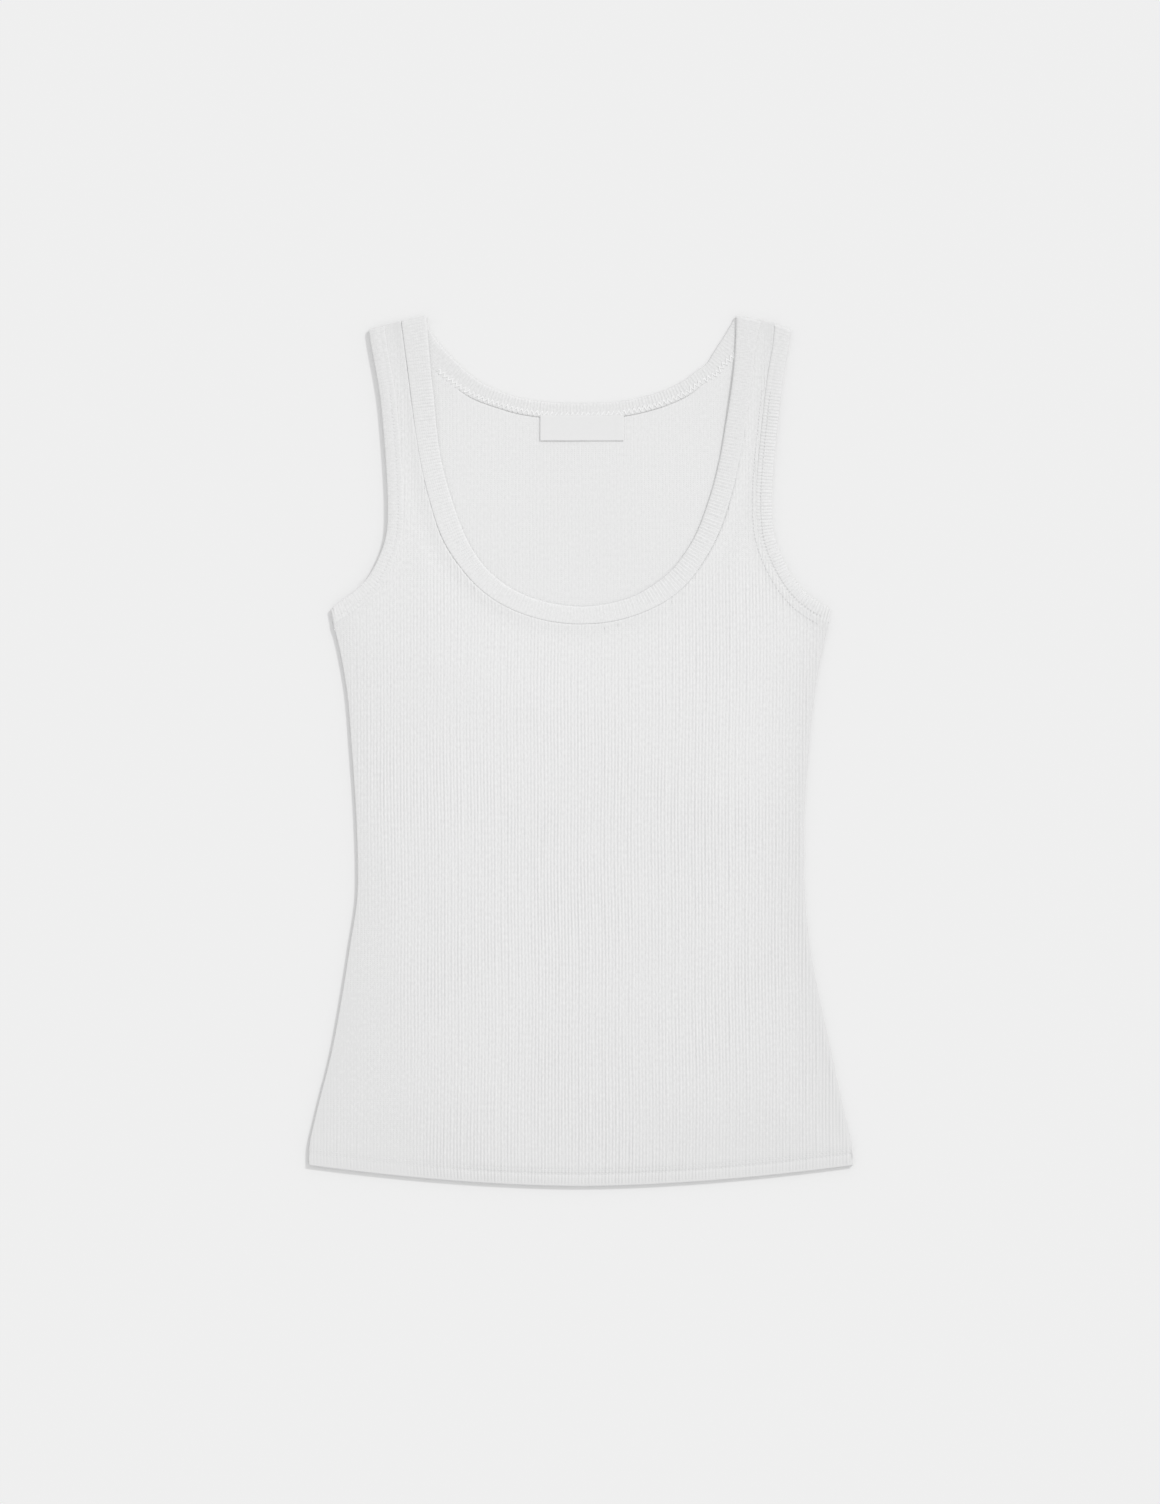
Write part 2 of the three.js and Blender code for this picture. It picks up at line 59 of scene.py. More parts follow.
print("solids:", sorted(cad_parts))

# %% [markdown]
# ## The cut
#
# A pattern is a few smooth lines through measured points. Each table below holds the half widths of
# the garment, left and right of its middle, at some heights above the lowest point of the hem. The
# two sides differ by a millimetre or two, as they do on any soft thing that somebody has laid out.

# %% Measurements of the cut, in millimetres
LENGTH = 627.0
HALF_HEM = 195.6
HEM_RISE = 15.1
HEM_POWER = 1.75
RIB_PITCH = 2.41
BACK_RIB_PITCH = 2.52
NECK_BAND_AT_SHOULDER = 18.6
ARM_BAND = 11.4
ROLL = 0.45

SIDE_SEAM = [
    # up, left, right
    (14.65, 195.6, 195.6),
    (28.8, 195.3, 194.6),
    (54.0, 189.9, 188.8),
    (97.2, 179.1, 179.5),
    (140.4, 171.2, 170.1),
    (172.8, 166.1, 164.2),
    (205.2, 161.1, 160.9),
    (226.8, 160.4, 160.0),
    (270.0, 161.8, 160.4),
    (313.2, 164.7, 163.6),
    (356.4, 168.3, 168.0),
    (388.8, 174.1, 174.1),
    (406.8, 178.7, 178.2),
    (415.1, 180.2, 180.2),
]
ARMHOLE = [
    # up, left, right
    (415.1, 180.2, 180.2),
    (420.5, 173.2, 170.3),
    (427.0, 164.0, 161.6),
    (434.2, 156.3, 155.0),
    (442.8, 149.9, 149.2),
    (451.4, 145.6, 144.9),
    (460.1, 142.0, 141.3),
    (472.0, 139.3, 138.2),
    (493.2, 138.7, 137.0),
    (511.9, 139.5, 137.8),
    (537.8, 141.3, 140.2),
    (568.0, 144.2, 143.5),
    (589.7, 147.8, 146.5),
    (607.0, 151.0, 149.7),
    (616.8, 152.5, 150.9),
]
FRONT_NECK_EDGE = [
    # up, left, right
    (608.4, 109.8, 111.4),
    (586.8, 108.0, 109.8),
    (568.1, 105.9, 107.4),
    (543.6, 103.6, 103.5),
    (524.2, 100.8, 100.1),
    (499.7, 94.6, 94.0),
    (470.9, 84.4, 83.6),
    (456.5, 77.0, 75.4),
    (443.5, 67.0, 65.3),
    (432.0, 52.9, 50.9),
    (422.6, 32.9, 32.6),
]
FRONT_NECK_EDGE_LOWEST = 417.2
FRONT_NECK_SEAM = [
    # up, left, right
    (608.4, 127.6, 126.4),
    (586.8, 124.7, 123.7),
    (568.1, 122.4, 121.4),
    (543.6, 119.2, 117.8),
    (524.2, 116.1, 114.3),
    (499.7, 110.7, 108.9),
    (470.9, 101.8, 99.5),
    (456.5, 94.5, 92.3),
    (439.1, 81.7, 81.0),
    (429.1, 71.9, 71.8),
    (420.3, 59.9, 59.9),
    (412.2, 43.0, 43.0),
    (406.4, 22.1, 22.5),
]
FRONT_NECK_SEAM_LOWEST = 404.5
BACK_NECK_EDGE = [
    # up, left, right
    (617.0, 109.0, 106.2),
    (608.4, 103.3, 100.8),
    (599.8, 96.0, 95.2),
    (592.6, 88.8, 90.8),
    (585.4, 81.3, 81.2),
    (579.2, 72.9, 73.0),
    (573.1, 60.5, 60.3),
    (568.4, 47.4, 45.6),
    (565.0, 29.6, 28.5),
]
BACK_NECK_EDGE_LOWEST = 563.6
BACK_BAND_WIDTH = [
    # share of the way along the neckline from the left shoulder, width
    (0.0, 18.6),
    (0.1, 17.4),
    (0.2, 14.0),
    (0.3, 11.6),
    (0.5, 11.0),
    (0.8, 10.8),
    (0.87, 11.4),
    (0.91, 14.6),
    (1.0, 18.6),
]
SHOULDER = {
    "left": {"outer": (-152.5, 617.0), "inner": (-111.4, 627.0)},
    "right": {"outer": (150.9, 618.4), "inner": (111.8, 627.0)},
}
SIGNS = {"left": -1, "right": 1}
print("tables:", len(SIDE_SEAM) + len(ARMHOLE), "rows for the sides")

# %% [markdown]
# ## Smooth lines
#
# A maker draws these curves with a bent ruler. We use a centripetal Catmull-Rom curve: it passes
# through every measured point and doesn't overshoot between two that are close together. A second
# helper spaces points evenly along the finished line, because a knit's ribs are evenly spaced too.


# %% Curves through measured points
def smooth_line(points, per_span=24):
    """A centripetal Catmull-Rom curve through the points, as many short straight steps."""
    p = np.array(points, float)
    p = np.vstack([2 * p[0] - p[1], p, 2 * p[-1] - p[-2]])
    t = np.linspace(0, 1, per_span, endpoint=False)[:, None]
    spans = []
    for p0, p1, p2, p3 in zip(p[:-3], p[1:-2], p[2:-1], p[3:], strict=True):
        d0, d1, d2 = (math.sqrt(np.linalg.norm(b - a)) for a, b in ((p0, p1), (p1, p2), (p2, p3)))
        leave = ((p1 - p0) / d0 - (p2 - p0) / (d0 + d1) + (p2 - p1) / d1) * d1
        reach = ((p2 - p1) / d1 - (p3 - p1) / (d1 + d2) + (p3 - p2) / d2) * d1
        bend = -3 * p1 + 3 * p2 - 2 * leave - reach
        twist = 2 * p1 - 2 * p2 + leave + reach
        spans.append(p1 + leave * t + bend * t**2 + twist * t**3)
    return np.vstack([*spans, p[-2:-1]])


def travelled(line):
    """How far along the line each of its points is."""
    steps = np.linalg.norm(np.diff(line, axis=0), axis=1)
    return np.concatenate([[0], np.cumsum(steps)])


def along(line, distances):
    """The points at these distances along a line."""
    gone = travelled(line)
    return np.stack([np.interp(distances, gone, line[:, k]) for k in range(line.shape[1])], 1)


def evenly(line, step):
    """Points about one step apart, with both ends kept."""
    total = travelled(line)[-1]
    return along(line, np.linspace(0, total, max(2, round(total / step) + 1)))


def side_line(table, side):
    column = {"left": 1, "right": 2}[side]
    return smooth_line([(SIGNS[side] * (row[column] + ROLL), row[0]) for row in table])


def neck_line(table, lowest, ends):
    """A neckline from the left shoulder through its lowest point to the right shoulder."""
    left = [(-row[1], row[0]) for row in table]
    right = [(row[2], row[0]) for row in reversed(table)]
    return smooth_line([ends[0], *left, (0, lowest), *right, ends[1]])


def hem_at(x):
    return HEM_RISE * np.minimum(1, np.abs(x) / HALF_HEM) ** HEM_POWER - ROLL


def on_shoulder(side, end, distance):
    """A point on the fold of the shoulder, this far from its inner or outer end."""
    start = np.array(SHOULDER[side][end])
    other = np.array(SHOULDER[side]["outer" if end == "inner" else "inner"])
    return start + (other - start) * distance / np.linalg.norm(other - start)


LINE_STEP = 3.0
FINE_STEP = 2.0
inner_ends = [on_shoulder(side, "inner", 0) for side in SIGNS]
seam_ends = [on_shoulder(side, "inner", NECK_BAND_AT_SHOULDER) for side in SIGNS]
front_neck_edge = evenly(neck_line(FRONT_NECK_EDGE, FRONT_NECK_EDGE_LOWEST, inner_ends), LINE_STEP)
front_neck_seam = evenly(neck_line(FRONT_NECK_SEAM, FRONT_NECK_SEAM_LOWEST, seam_ends), LINE_STEP)
back_neck_edge = evenly(neck_line(BACK_NECK_EDGE, BACK_NECK_EDGE_LOWEST, inner_ends), LINE_STEP)
side_seams = {side: evenly(side_line(SIDE_SEAM, side), LINE_STEP) for side in SIGNS}
armholes = {side: evenly(side_line(ARMHOLE, side), LINE_STEP) for side in SIGNS}
print("front neckline:", round(travelled(front_neck_edge)[-1]), "mm along its free edge")

# %% [markdown]
# ## Lines beside lines
#
# The seam of a band runs a band's width away from its free edge. So we need each line's left hand
# side: a quarter turn from the way it runs. Distances to a line are needed often as well, for
# instance to round the cloth off near a seam, so one function works them out for many points.


# %% Offsets and distances
def headings(line):
    ways = np.gradient(line, axis=0)
    return ways / np.linalg.norm(ways, axis=1, keepdims=True)


def quarter_turn(ways):
    """The left hand side of each heading."""
    return np.stack([-ways[:, 1], ways[:, 0]], 1)


def beside(line, distance):
    """The line moved sideways, to the left of the way it runs."""
    return line + quarter_turn(headings(line)) * np.reshape(distance, (-1, 1))


def distance_to(line, points):
    """The distance from each point to the nearest place on a line of straight steps."""
    tree = KDTree(len(line))
    for number, (x, y) in enumerate(line):
        tree.insert((x, y, 0), number)
    tree.balance()
    closest = np.array([tree.find((x, y, 0))[1] for x, y in points])
    found = np.full(len(points), np.inf)
    for before in (1, 0):
        first = np.clip(closest - before, 0, len(line) - 2)
        start, step = line[first], line[first + 1] - line[first]
        share = np.clip(((points - start) * step).sum(1) / (step**2).sum(1), 0, 1)
        found = np.minimum(found, np.linalg.norm(points - start - share[:, None] * step, axis=1))
    return found


back_share = travelled(back_neck_edge) / travelled(back_neck_edge)[-1]
back_band_width = np.interp(back_share, *np.transpose(BACK_BAND_WIDTH))
back_neck_seam = beside(back_neck_edge, -back_band_width)
back_neck_seam[0], back_neck_seam[-1] = seam_ends


EVERY_SIXTH = slice(6, -4, 6)


def arm_seam(side):
    """The line where the arm band meets the panels, from the side seam to the shoulder."""
    seam = beside(evenly(armholes[side], FINE_STEP), SIGNS[side] * ARM_BAND)
    first = along(side_seams[side][::-1], [ARM_BAND])[0]
    last = on_shoulder(side, "outer", ARM_BAND)
    return evenly(smooth_line([first, *seam[EVERY_SIXTH], last]), LINE_STEP)


arm_seams = {side: arm_seam(side) for side in SIGNS}
print("arm seams:", {side: round(travelled(line)[-1]) for side, line in arm_seams.items()}, "mm")

# %% [markdown]
# ## How the cloth lies
#
# Laid flat, the garment is two walls of knit, one on the other. The back rests on the table. The
# front rests on the back, with a little air between them, and it is never quite level: it has broad,
# soft swells and a few shallow hollows where a hand has smoothed it. Near a side seam both walls
# round off and meet. Along the neck seam, the turned-in edges of the cloth lift the front a little,
# and beside them it dips.
#
# All of this is one height for each point of the table top, so we write it as one function. That is
# simpler and more exact than sculpting, and it can be read and changed.

# %% Heights of the layers, in millimetres
WALL = 1.3
RELIEF = 0.5
FRONT_BASE = 1.6
BAND = 1.85
UPPER_BAND_BASE = 1.95
SEAM_LEVEL = 1.55
ROUNDING = 0.35
HEM_DEPTH = 13.0
TUCK = 2.0
AIR = 1.8
AIR_RUN = 70.0
SEAM_BULK = 0.45
SEAM_BULK_WIDTH = 4.5
NECK_HOLLOW = 0.3
NECK_HOLLOW_AT = 11.0
NECK_HOLLOW_WIDTH = 5.0
HEM_BULK = 0.45
HEM_BULK_ENDS = (HEM_DEPTH - 2, HEM_DEPTH + 14)

SWELLS = [
    # across, up, how wide, how long, turned (degrees), rise
    (-95, 120, 60, 95, 8, 0.7),
    (-40, 55, 34, 42, 0, -0.5),
    (60, 95, 48, 90, -10, 0.5),
    (20, 235, 75, 60, 0, -0.5),
    (-70, 330, 42, 80, 12, 0.6),
    (85, 345, 40, 75, -8, 0.5),
    (-120, 210, 14, 70, 12, -0.35),
    (118, 190, 16, 80, -9, -0.3),
    (-8, 380, 90, 16, 2, -0.3),
    (70, 40, 30, 18, 20, 0.25),
    (-130, 45, 24, 30, -25, 0.3),
    (140, 60, 22, 34, 20, 0.25),
]


def smoothstep(value, low, high):
    t = np.clip((value - low) / (high - low), 0, 1)
    return t * t * (3 - 2 * t)


def dip(distance, middle, half_width):
    """A smooth bump of height 1 at one distance."""
    return np.exp(-(((distance - middle) / half_width) ** 2))


def swell(x, up):
    total = np.zeros_like(x)
    for across, middle, wide, long, turned, rise in SWELLS:
        c, s = math.cos(math.radians(turned)), math.sin(math.radians(turned))
        dx, dy = x - across, up - middle
        total += rise * np.exp(-(((c * dx + s * dy) / wide) ** 2) - ((c * dy - s * dx) / long) ** 2)
    return total


HEM_POINTS = 120
hem_line = np.array([(x, hem_at(x)) for x in np.linspace(-HALF_HEM, HALF_HEM, HEM_POINTS)])
shoulders = {
    side: np.array([
        on_shoulder(side, "outer", ARM_BAND - TUCK),
        on_shoulder(side, "inner", NECK_BAND_AT_SHOULDER - TUCK),
    ])
    for side in SIGNS
}
rim_lines = [*side_seams.values(), hem_line, *shoulders.values()]
seam_lines = [front_neck_seam, *arm_seams.values()]


def nearest(lines, points):
    return np.min([distance_to(line, points) for line in lines], axis=0)


def rounded(distance, radius):
    """A quarter of a circle: 0 at the edge and 1 from one radius in."""
    return np.sqrt(1 - (1 - np.clip(distance / radius, 0, 1)) ** 2)


def thinned(distance, least, radius):
    """The same quarter, but down to a least share at the edge."""
    return least + (1 - least) * rounded(distance, radius)


def front_lie(points):
    """The height of the front's inner face above the back, without its rounded rim."""
    x, up = points.T
    rim = nearest(rim_lines, points)
    seam = nearest(seam_lines, points)
    neck = distance_to(front_neck_seam, points)
    air = smoothstep(np.minimum(rim, seam), 0, AIR_RUN) * (AIR + swell(x, up))
    bulk = SEAM_BULK * dip(seam, 0, SEAM_BULK_WIDTH)
    hollow = NECK_HOLLOW * dip(neck, NECK_HOLLOW_AT, NECK_HOLLOW_WIDTH)
    hem = HEM_BULK * (1 - smoothstep(up - hem_at(x), *HEM_BULK_ENDS))
    return air + bulk - hollow + hem, rim


print("swells:", len(SWELLS), "in the front")

# %% [markdown]
# ## Ribs
#
# A rib knit stands up in crests, one beside the other, with a valley between. The ribs run straight
# from hem to shoulder, so a rib is a function of how far across the garment a point is. No two are
# quite alike: each gets its own small change of height, from a seeded random table, and all of them
# waver a little together.
#
# Fine ribs could be a bump map, but then the edge of the cloth and its side view would be smooth.
# We give them real geometry, with the mesh's own columns on the crests and in the valleys.

# %% The shape of a rib
COLUMNS_A_RIB = 6
CREST_POWER = 1.2
UNEVEN = 0.22
UNEVEN_RUN = 9.0
RIBS_IN_TABLE = 997
rib_chance = np.random.default_rng(7)
RIB_VARIETY = 1 + 0.2 * rib_chance.standard_normal(RIBS_IN_TABLE)
RIB_PHASE = rib_chance.uniform(0, 2 * np.pi, RIBS_IN_TABLE)

LEAST_RELIEF = 0.05
USUAL_RELIEF = 0.82
PATCHY = 0.25
PATCH_ACROSS = (31, 1.7, 47)
PATCH_ALONG = (39, 1.3, 43)
FAINT_RIBS = [
    # how much fainter, and ramps from 0 to 1: (share of across, share of up, from, to)
    (0.32, [(0, 1, 250, 400)]),
    (0.3, [(0, 1, 540, 600)]),
    (0.12, [(0, -1, -160, -90)]),
    (0.12, [(-1, 0, 90, 140)]),
    (0.12, [(1, 0, 90, 140)]),
    (0.4, [(1, 0, 50, 90), (0, 1, 425, 475)]),
    (0.3, [(-1, 0, 80, 110), (0, 1, 480, 540)]),
    (0.45, [(-1, -0.1, 110, 134), (0, -1, -360, -280)]),
]
WAVERS = [
    # how far, millimetres up and across for one radian, phase
    (0.45, 61, 90, 0),
    (0.25, 23, -37, 1),
]
OWN_WAVER = 0.12
OWN_WAVER_RUN = 17.0


def rib_height(x, pitch, relief, run=0.0):
    """Crests at whole numbers of pitches and a half, valleys at whole numbers."""
    number = np.floor(x / pitch).astype(int)
    crest = np.sin(np.pi * (x / pitch - number)) ** CREST_POWER
    number %= RIBS_IN_TABLE
    own = RIB_VARIETY[number] + UNEVEN * np.sin(run / UNEVEN_RUN + RIB_PHASE[number])
    return relief * own * crest


def sway(place, other, run, bend, bend_run):
    """A wave whose crests bend from side to side."""
    return np.sin(place / run + bend * np.sin(other / bend_run))


def patches(x, up):
    """The ribs stand out less in broad patches, and where the knit is stretched or pressed."""
    left = USUAL_RELIEF + PATCHY * sway(x, up, *PATCH_ACROSS) * sway(up, x, *PATCH_ALONG)
    for share, ramps in FAINT_RIBS:
        left = left - share * math.prod(
            smoothstep(across * x + rise * up, low, high) for across, rise, low, high in ramps
        )
    return np.maximum(LEAST_RELIEF, left)


def waver(x, up):
    """How far sideways the ribs stray from a straight line."""
    together = sum(far * np.sin(up / tall + x / wide + phase) for far, tall, wide, phase in WAVERS)
    number = np.floor(x / RIB_PITCH).astype(int) % RIBS_IN_TABLE
    return together + OWN_WAVER * np.sin(up / OWN_WAVER_RUN + RIB_PHASE[number])


print("a rib every", RIB_PITCH, "mm:", round(2 * HALF_HEM / RIB_PITCH), "across the hem")

# %% [markdown]
# ## Turning points into a panel
#
# A panel has a curved outline, but its ribs are straight. A plain grid bent to the outline would
# bend the ribs too. So we lay the points ourselves: columns on the ribs inside, and rows of points
# along the outline. A constrained Delaunay triangulation then joins them and keeps the outline.
#
# Delaunay likes triangles that are as tall as they are wide, and our points stand much closer
# together across the ribs than along them. We squeeze the height before joining and not after.


# %% Triangles between an outline and the points inside it
SAME_POINT = 1e-7


def triangulate(outline, inside, squeeze, lines=()):
    """Triangles that fill a closed outline. They keep its edges and those of the lines."""
    points = np.vstack([outline, inside, *lines])
    flat = [Vector((x, y * squeeze)) for x, y in points]
    count = len(outline)
    edges = [(i, (i + 1) % count) for i in range(count)]
    first = count + len(inside)
    for line in lines:
        edges.extend((i, i + 1) for i in range(first, first + len(line) - 1))
        first += len(line)
    joined = delaunay_2d_cdt(flat, edges, [], 1, SAME_POINT)
    origin = [sources[0] if sources else -1 for sources in joined[3]]
    triangles = np.array([[origin[i] for i in face] for face in joined[2]])
    return points, triangles[(triangles >= 0).all(1)]


def in_outline(outline, points):
    """Which points are inside a closed outline, by counting the edges to their right."""
    inside = np.zeros(len(points), bool)
    x, y = points.T
    for (x0, y0), (x1, y1) in zip(outline, np.roll(outline, -1, axis=0), strict=True):
        if y0 == y1:
            continue
        crosses = (y0 > y) != (y1 > y)
        inside ^= crosses & (x < x0 + (y - y0) * (x1 - x0) / (y1 - y0))
    return inside


def mesh_piece(name, points, faces, cloth=None, wrap=None, rim=None):
    """A smooth Blender mesh from millimetres. "cloth" is each point's place on the knit, "wrap"
    the length after which that place starts again on a ring, and "rim" how near the rim it is."""
    corners = np.concatenate([np.asarray(face) for face in faces])
    used, renumbered = np.unique(corners, return_inverse=True)
    ends = np.cumsum([len(face) for face in faces])
    tidy = [part.tolist() for part in np.split(renumbered, ends[:-1])]
    row = (np.asarray(points)[used] - (0, cut_middle, 0)) * MM
    mesh = bpy.data.meshes.new(name)
    mesh.from_pydata(row.tolist(), [], tidy)
    if cloth is not None:
        place = np.array(cloth[corners])
        if wrap:
            face_of = np.repeat(np.arange(len(faces)), [len(face) for face in faces])
            far = np.maximum.reduceat(place[:, 0], np.concatenate([[0], ends[:-1]]))[face_of]
            place[far - place[:, 0] > wrap / 2, 0] += wrap
        layer = mesh.uv_layers.new(name="Cloth")
        layer.data.foreach_set("uv", (place * MM).astype(np.float32).ravel())
    if rim is not None:
        mesh.attributes.new("Rim", "FLOAT", "POINT").data.foreach_set("value", rim[used])
    mesh.shade_smooth()
    piece = bpy.data.objects.new(name, mesh)
    bpy.context.scene.collection.objects.link(piece)
    print(name, "has", len(mesh.polygons), "faces")
    return piece


cut_middle = -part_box("front_panel")[0].y / MM
print("the middle of the garment is", round(cut_middle, 2), "mm above the hem")

# %% [markdown]
# ## The front
#
# The front is one wall of knit. Its outer face carries the ribs and its inner face is plain, so the
# outer face gets a dense triangulation and the inner face a coarse one on the same outline. A narrow
# rim joins them. At the neck and the armholes the panel runs on for a little way inside the bands,
# as the turned-in edges of the real one do.

# %% Outlines and rows
STITCH_ROWS = [8.95, 11.75]
ROW_DETAIL = [offset + row for row in STITCH_ROWS for offset in (-0.7, 0, 0.7)]
HEM_ROWS = np.array([3.0, 5.8, *ROW_DETAIL, 14.0, 16.4, 20.0, 24.0])
ROW_STEP = 8.0
RIM_RINGS = [0.07, 0.18, 0.42, 0.9]
# How far in from the rim the painted rim shade reaches.
RIM_SHADE_RUN = 14.0
CALM_RIM = 12.0
STILL_OFF = 0.8
OFF_HEM = 0.05
OFF_CORNER = 0.1
SEAM_RING_GAP = 0.3
SEAM_GRID_GAP = 0.4
RIM_GRID_GAP = 0.5
RING_STEP = 2.5
CORNER_STEPS = [0, 0.5, 1.1, 1.9, 3.0, 4.5]
CORNERS_END = 6.5
SEAM_RINGS = [-0.6, 0.05, 0.4, 0.9, 1.8]
SEAM_RING_STEP = 0.6
BELT = 8.0
BELT_ROWS = 4
OUTLINE_STEP = 1.5
INSIDE_GAP = 0.15
PLAIN_GAP = 2.5
PLAIN_COLUMN = 8.0
PLAIN_ROWS = np.arange(12, LENGTH, 12)


def hem_columns(column):
    """Where the columns of points meet the hem, from corner to corner."""
    reach = math.floor(HALF_HEM / column - 0.5)
    return np.arange(-reach, reach + 1) * column


def panel_outline(neck_seam, column):
    """A panel's outline, anticlockwise from the left corner of the hem, and its side seams."""
    hem_x = hem_columns(column)
    sides, arms = {}, {}
    for side, sign in SIGNS.items():
        until = travelled(side_seams[side])[-1] - ARM_BAND + TUCK
        spots = [*CORNER_STEPS, *np.arange(CORNERS_END, until, RING_STEP)]
        sides[side] = along(side_seams[side], spots)
        arms[side] = beside(evenly(arm_seams[side], OUTLINE_STEP), -sign * TUCK)
        arms[side][0] = along(side_seams[side], [until])[0]
        arms[side][-1] = shoulders[side][0]
    neck = beside(evenly(neck_seam, OUTLINE_STEP), TUCK)
    neck[0], neck[-1] = shoulders["left"][1], shoulders["right"][1]
    return np.vstack([
        np.stack([hem_x, hem_at(hem_x)], 1),
        sides["right"],
        arms["right"],
        evenly(shoulders["right"], column)[1:-1],
        neck[::-1],
        evenly(shoulders["left"][::-1], column)[1:-1],
        arms["left"][::-1],
        sides["left"][::-1],
    ]), sides


def inset_line(outline, line, inset, sign):
    """A line moved into the panel, without the points that leave it at its ends."""
    ring = beside(line, sign * inset)
    clear = in_outline(outline, ring) & (distance_to(outline, ring) > STILL_OFF * inset)
    return ring[clear & (ring[:, 1] > hem_at(ring[:, 0]) + inset + OFF_HEM)]


def rim_rings(outline, sides, column):
    """Lines of points just inside the rim: down one side seam, along the hem and up the other, and
    along the folds of the shoulders."""
    rings = []
    hem_x = hem_columns(column)
    for inset in RIM_RINGS:
        left, right = (inset_line(outline, sides[side], inset, sign) for side, sign in SIGNS.items())
        first, last = left[0, 0], right[0, 0]
        between = hem_x[(hem_x > first + OFF_CORNER) & (hem_x < last - OFF_CORNER)]
        x = np.array([first, *between, last])
        rings.append(np.vstack([left[::-1], np.stack([x, hem_at(x) + inset], 1), right]))
        for side, sign in SIGNS.items():
            rings.append(inset_line(outline, evenly(shoulders[side], column), inset, sign))
    return rings


def seam_rings(seams):
    """Lines of points beside the seams, close enough together to draw a groove."""
    rings = []
    for seam, inwards in seams:
        for offset in SEAM_RINGS:
            ring = beside(evenly(seam, SEAM_RING_STEP), inwards * offset)
            rings.append(ring[nearest(rim_lines, ring) > max(RIM_RINGS) + SEAM_RING_GAP])
    return rings


def grid_points(outline, sides, column, rows, clearance, seams=()):
    """Points on the ribs' columns, in closer rows near the seams."""
    reach = math.ceil((HALF_HEM + 2) / column)
    xs = np.arange(-reach, reach + 1) * column
    x, v = np.meshgrid(xs, rows)
    number = np.meshgrid(xs, np.arange(len(rows)))[1].ravel()
    grid = np.stack([x.ravel(), (v + hem_at(x) * (1 - v / LENGTH)).ravel()], 1)
    if seams:
        off_seam = nearest([seam for seam, _ in seams], grid)
        wanted = (number % BELT_ROWS == 0) | (off_seam < BELT) | (number < len(HEM_ROWS))
        grid = grid[wanted & (off_seam > max(SEAM_RINGS) + SEAM_GRID_GAP)]
    grid = grid[in_outline(outline, grid)]
    folds = {side: evenly(shoulders[side], column) for side in SIGNS}
    off_rim = nearest([*sides.values(), *folds.values()], grid)
    grid = grid[off_rim > max(RIM_RINGS) + RIM_GRID_GAP]
    return grid[distance_to(outline, grid) > clearance]


def sideways(points):
    """Ribs waver inside a panel, and its rim stays where it is."""
    x, up = points.T
    calm = smoothstep(nearest(rim_lines, points), 0, CALM_RIM)
    return np.column_stack([waver(x, up) * calm, np.zeros(len(points))])


def panel(name, neck_seam, seams, column, row_step, top, bottom):
    """A closed wall of knit: a ribbed outer face, a plain inner face and the rim between them."""
    outline, sides = panel_outline(neck_seam, column)
    rims = rim_rings(outline, sides, column)
    step = row_step / BELT_ROWS
    rows = np.concatenate([HEM_ROWS, np.arange(HEM_ROWS[-1] + step, LENGTH, step)])
    inside = grid_points(outline, sides, column, rows, INSIDE_GAP, seams)
    points, outer = triangulate(outline, inside, column / row_step, rims + seam_rings(seams))
    coarse = grid_points(outline, sides, PLAIN_COLUMN, PLAIN_ROWS, PLAIN_GAP)
    base, inner = triangulate(outline, coarse, 1.0, rims)
    print(name, "has", len(outline), "points round its outline and", len(inside), "inside")
    start = len(points)
    edge = np.arange(len(outline))
    after = np.roll(edge, -1)
    upper = np.column_stack([points + sideways(points), top(points)])
    lower = np.column_stack([base + sideways(base), bottom(base)])
    quads = np.column_stack([edge, edge + start, after + start, after])
    faces = [*outer.tolist(), *(inner[:, ::-1] + start).tolist(), *quads.tolist()]
    cloth = np.vstack([points, base])
    # Nearness to the rim, which the material uses for painted shade near the rim.
    rim = np.exp(-nearest(rim_lines, cloth) / RIM_SHADE_RUN)
    return mesh_piece(name, np.vstack([upper, lower]), faces, cloth, rim=rim)


# %% Heights of the front
STITCH_DEPTHS = [0.55, 0.24]
STITCH_WIDTH = 0.6
SLACK_ENDS = (60, 120)
SLACK = 0.75
NECK_SEAM_DEPTH = 0.75
NECK_SEAM_WIDTH = 0.42
NECK_SEAM_SHALLOW = (412, 460)
FLATTER = 0.8
FLATTER_ENDS = (480, 535)
ARM_SEAM_DEPTH = {"left": 0.05, "right": 0.03}
ARM_SEAM_WIDTH = 0.5
PANEL_NEEDLE_ROW = 2.4
STITCHES_END = 575.0
STITCHES_FADE = 40.0
RIBS_BEGIN = (0.6, 3.0)
FRONT_RIM = SEAM_LEVEL + 0.05


def slack_stitches(x):
    """Towards the left, the hem's stitches were pulled less tight."""
    return smoothstep(-x, *SLACK_ENDS)


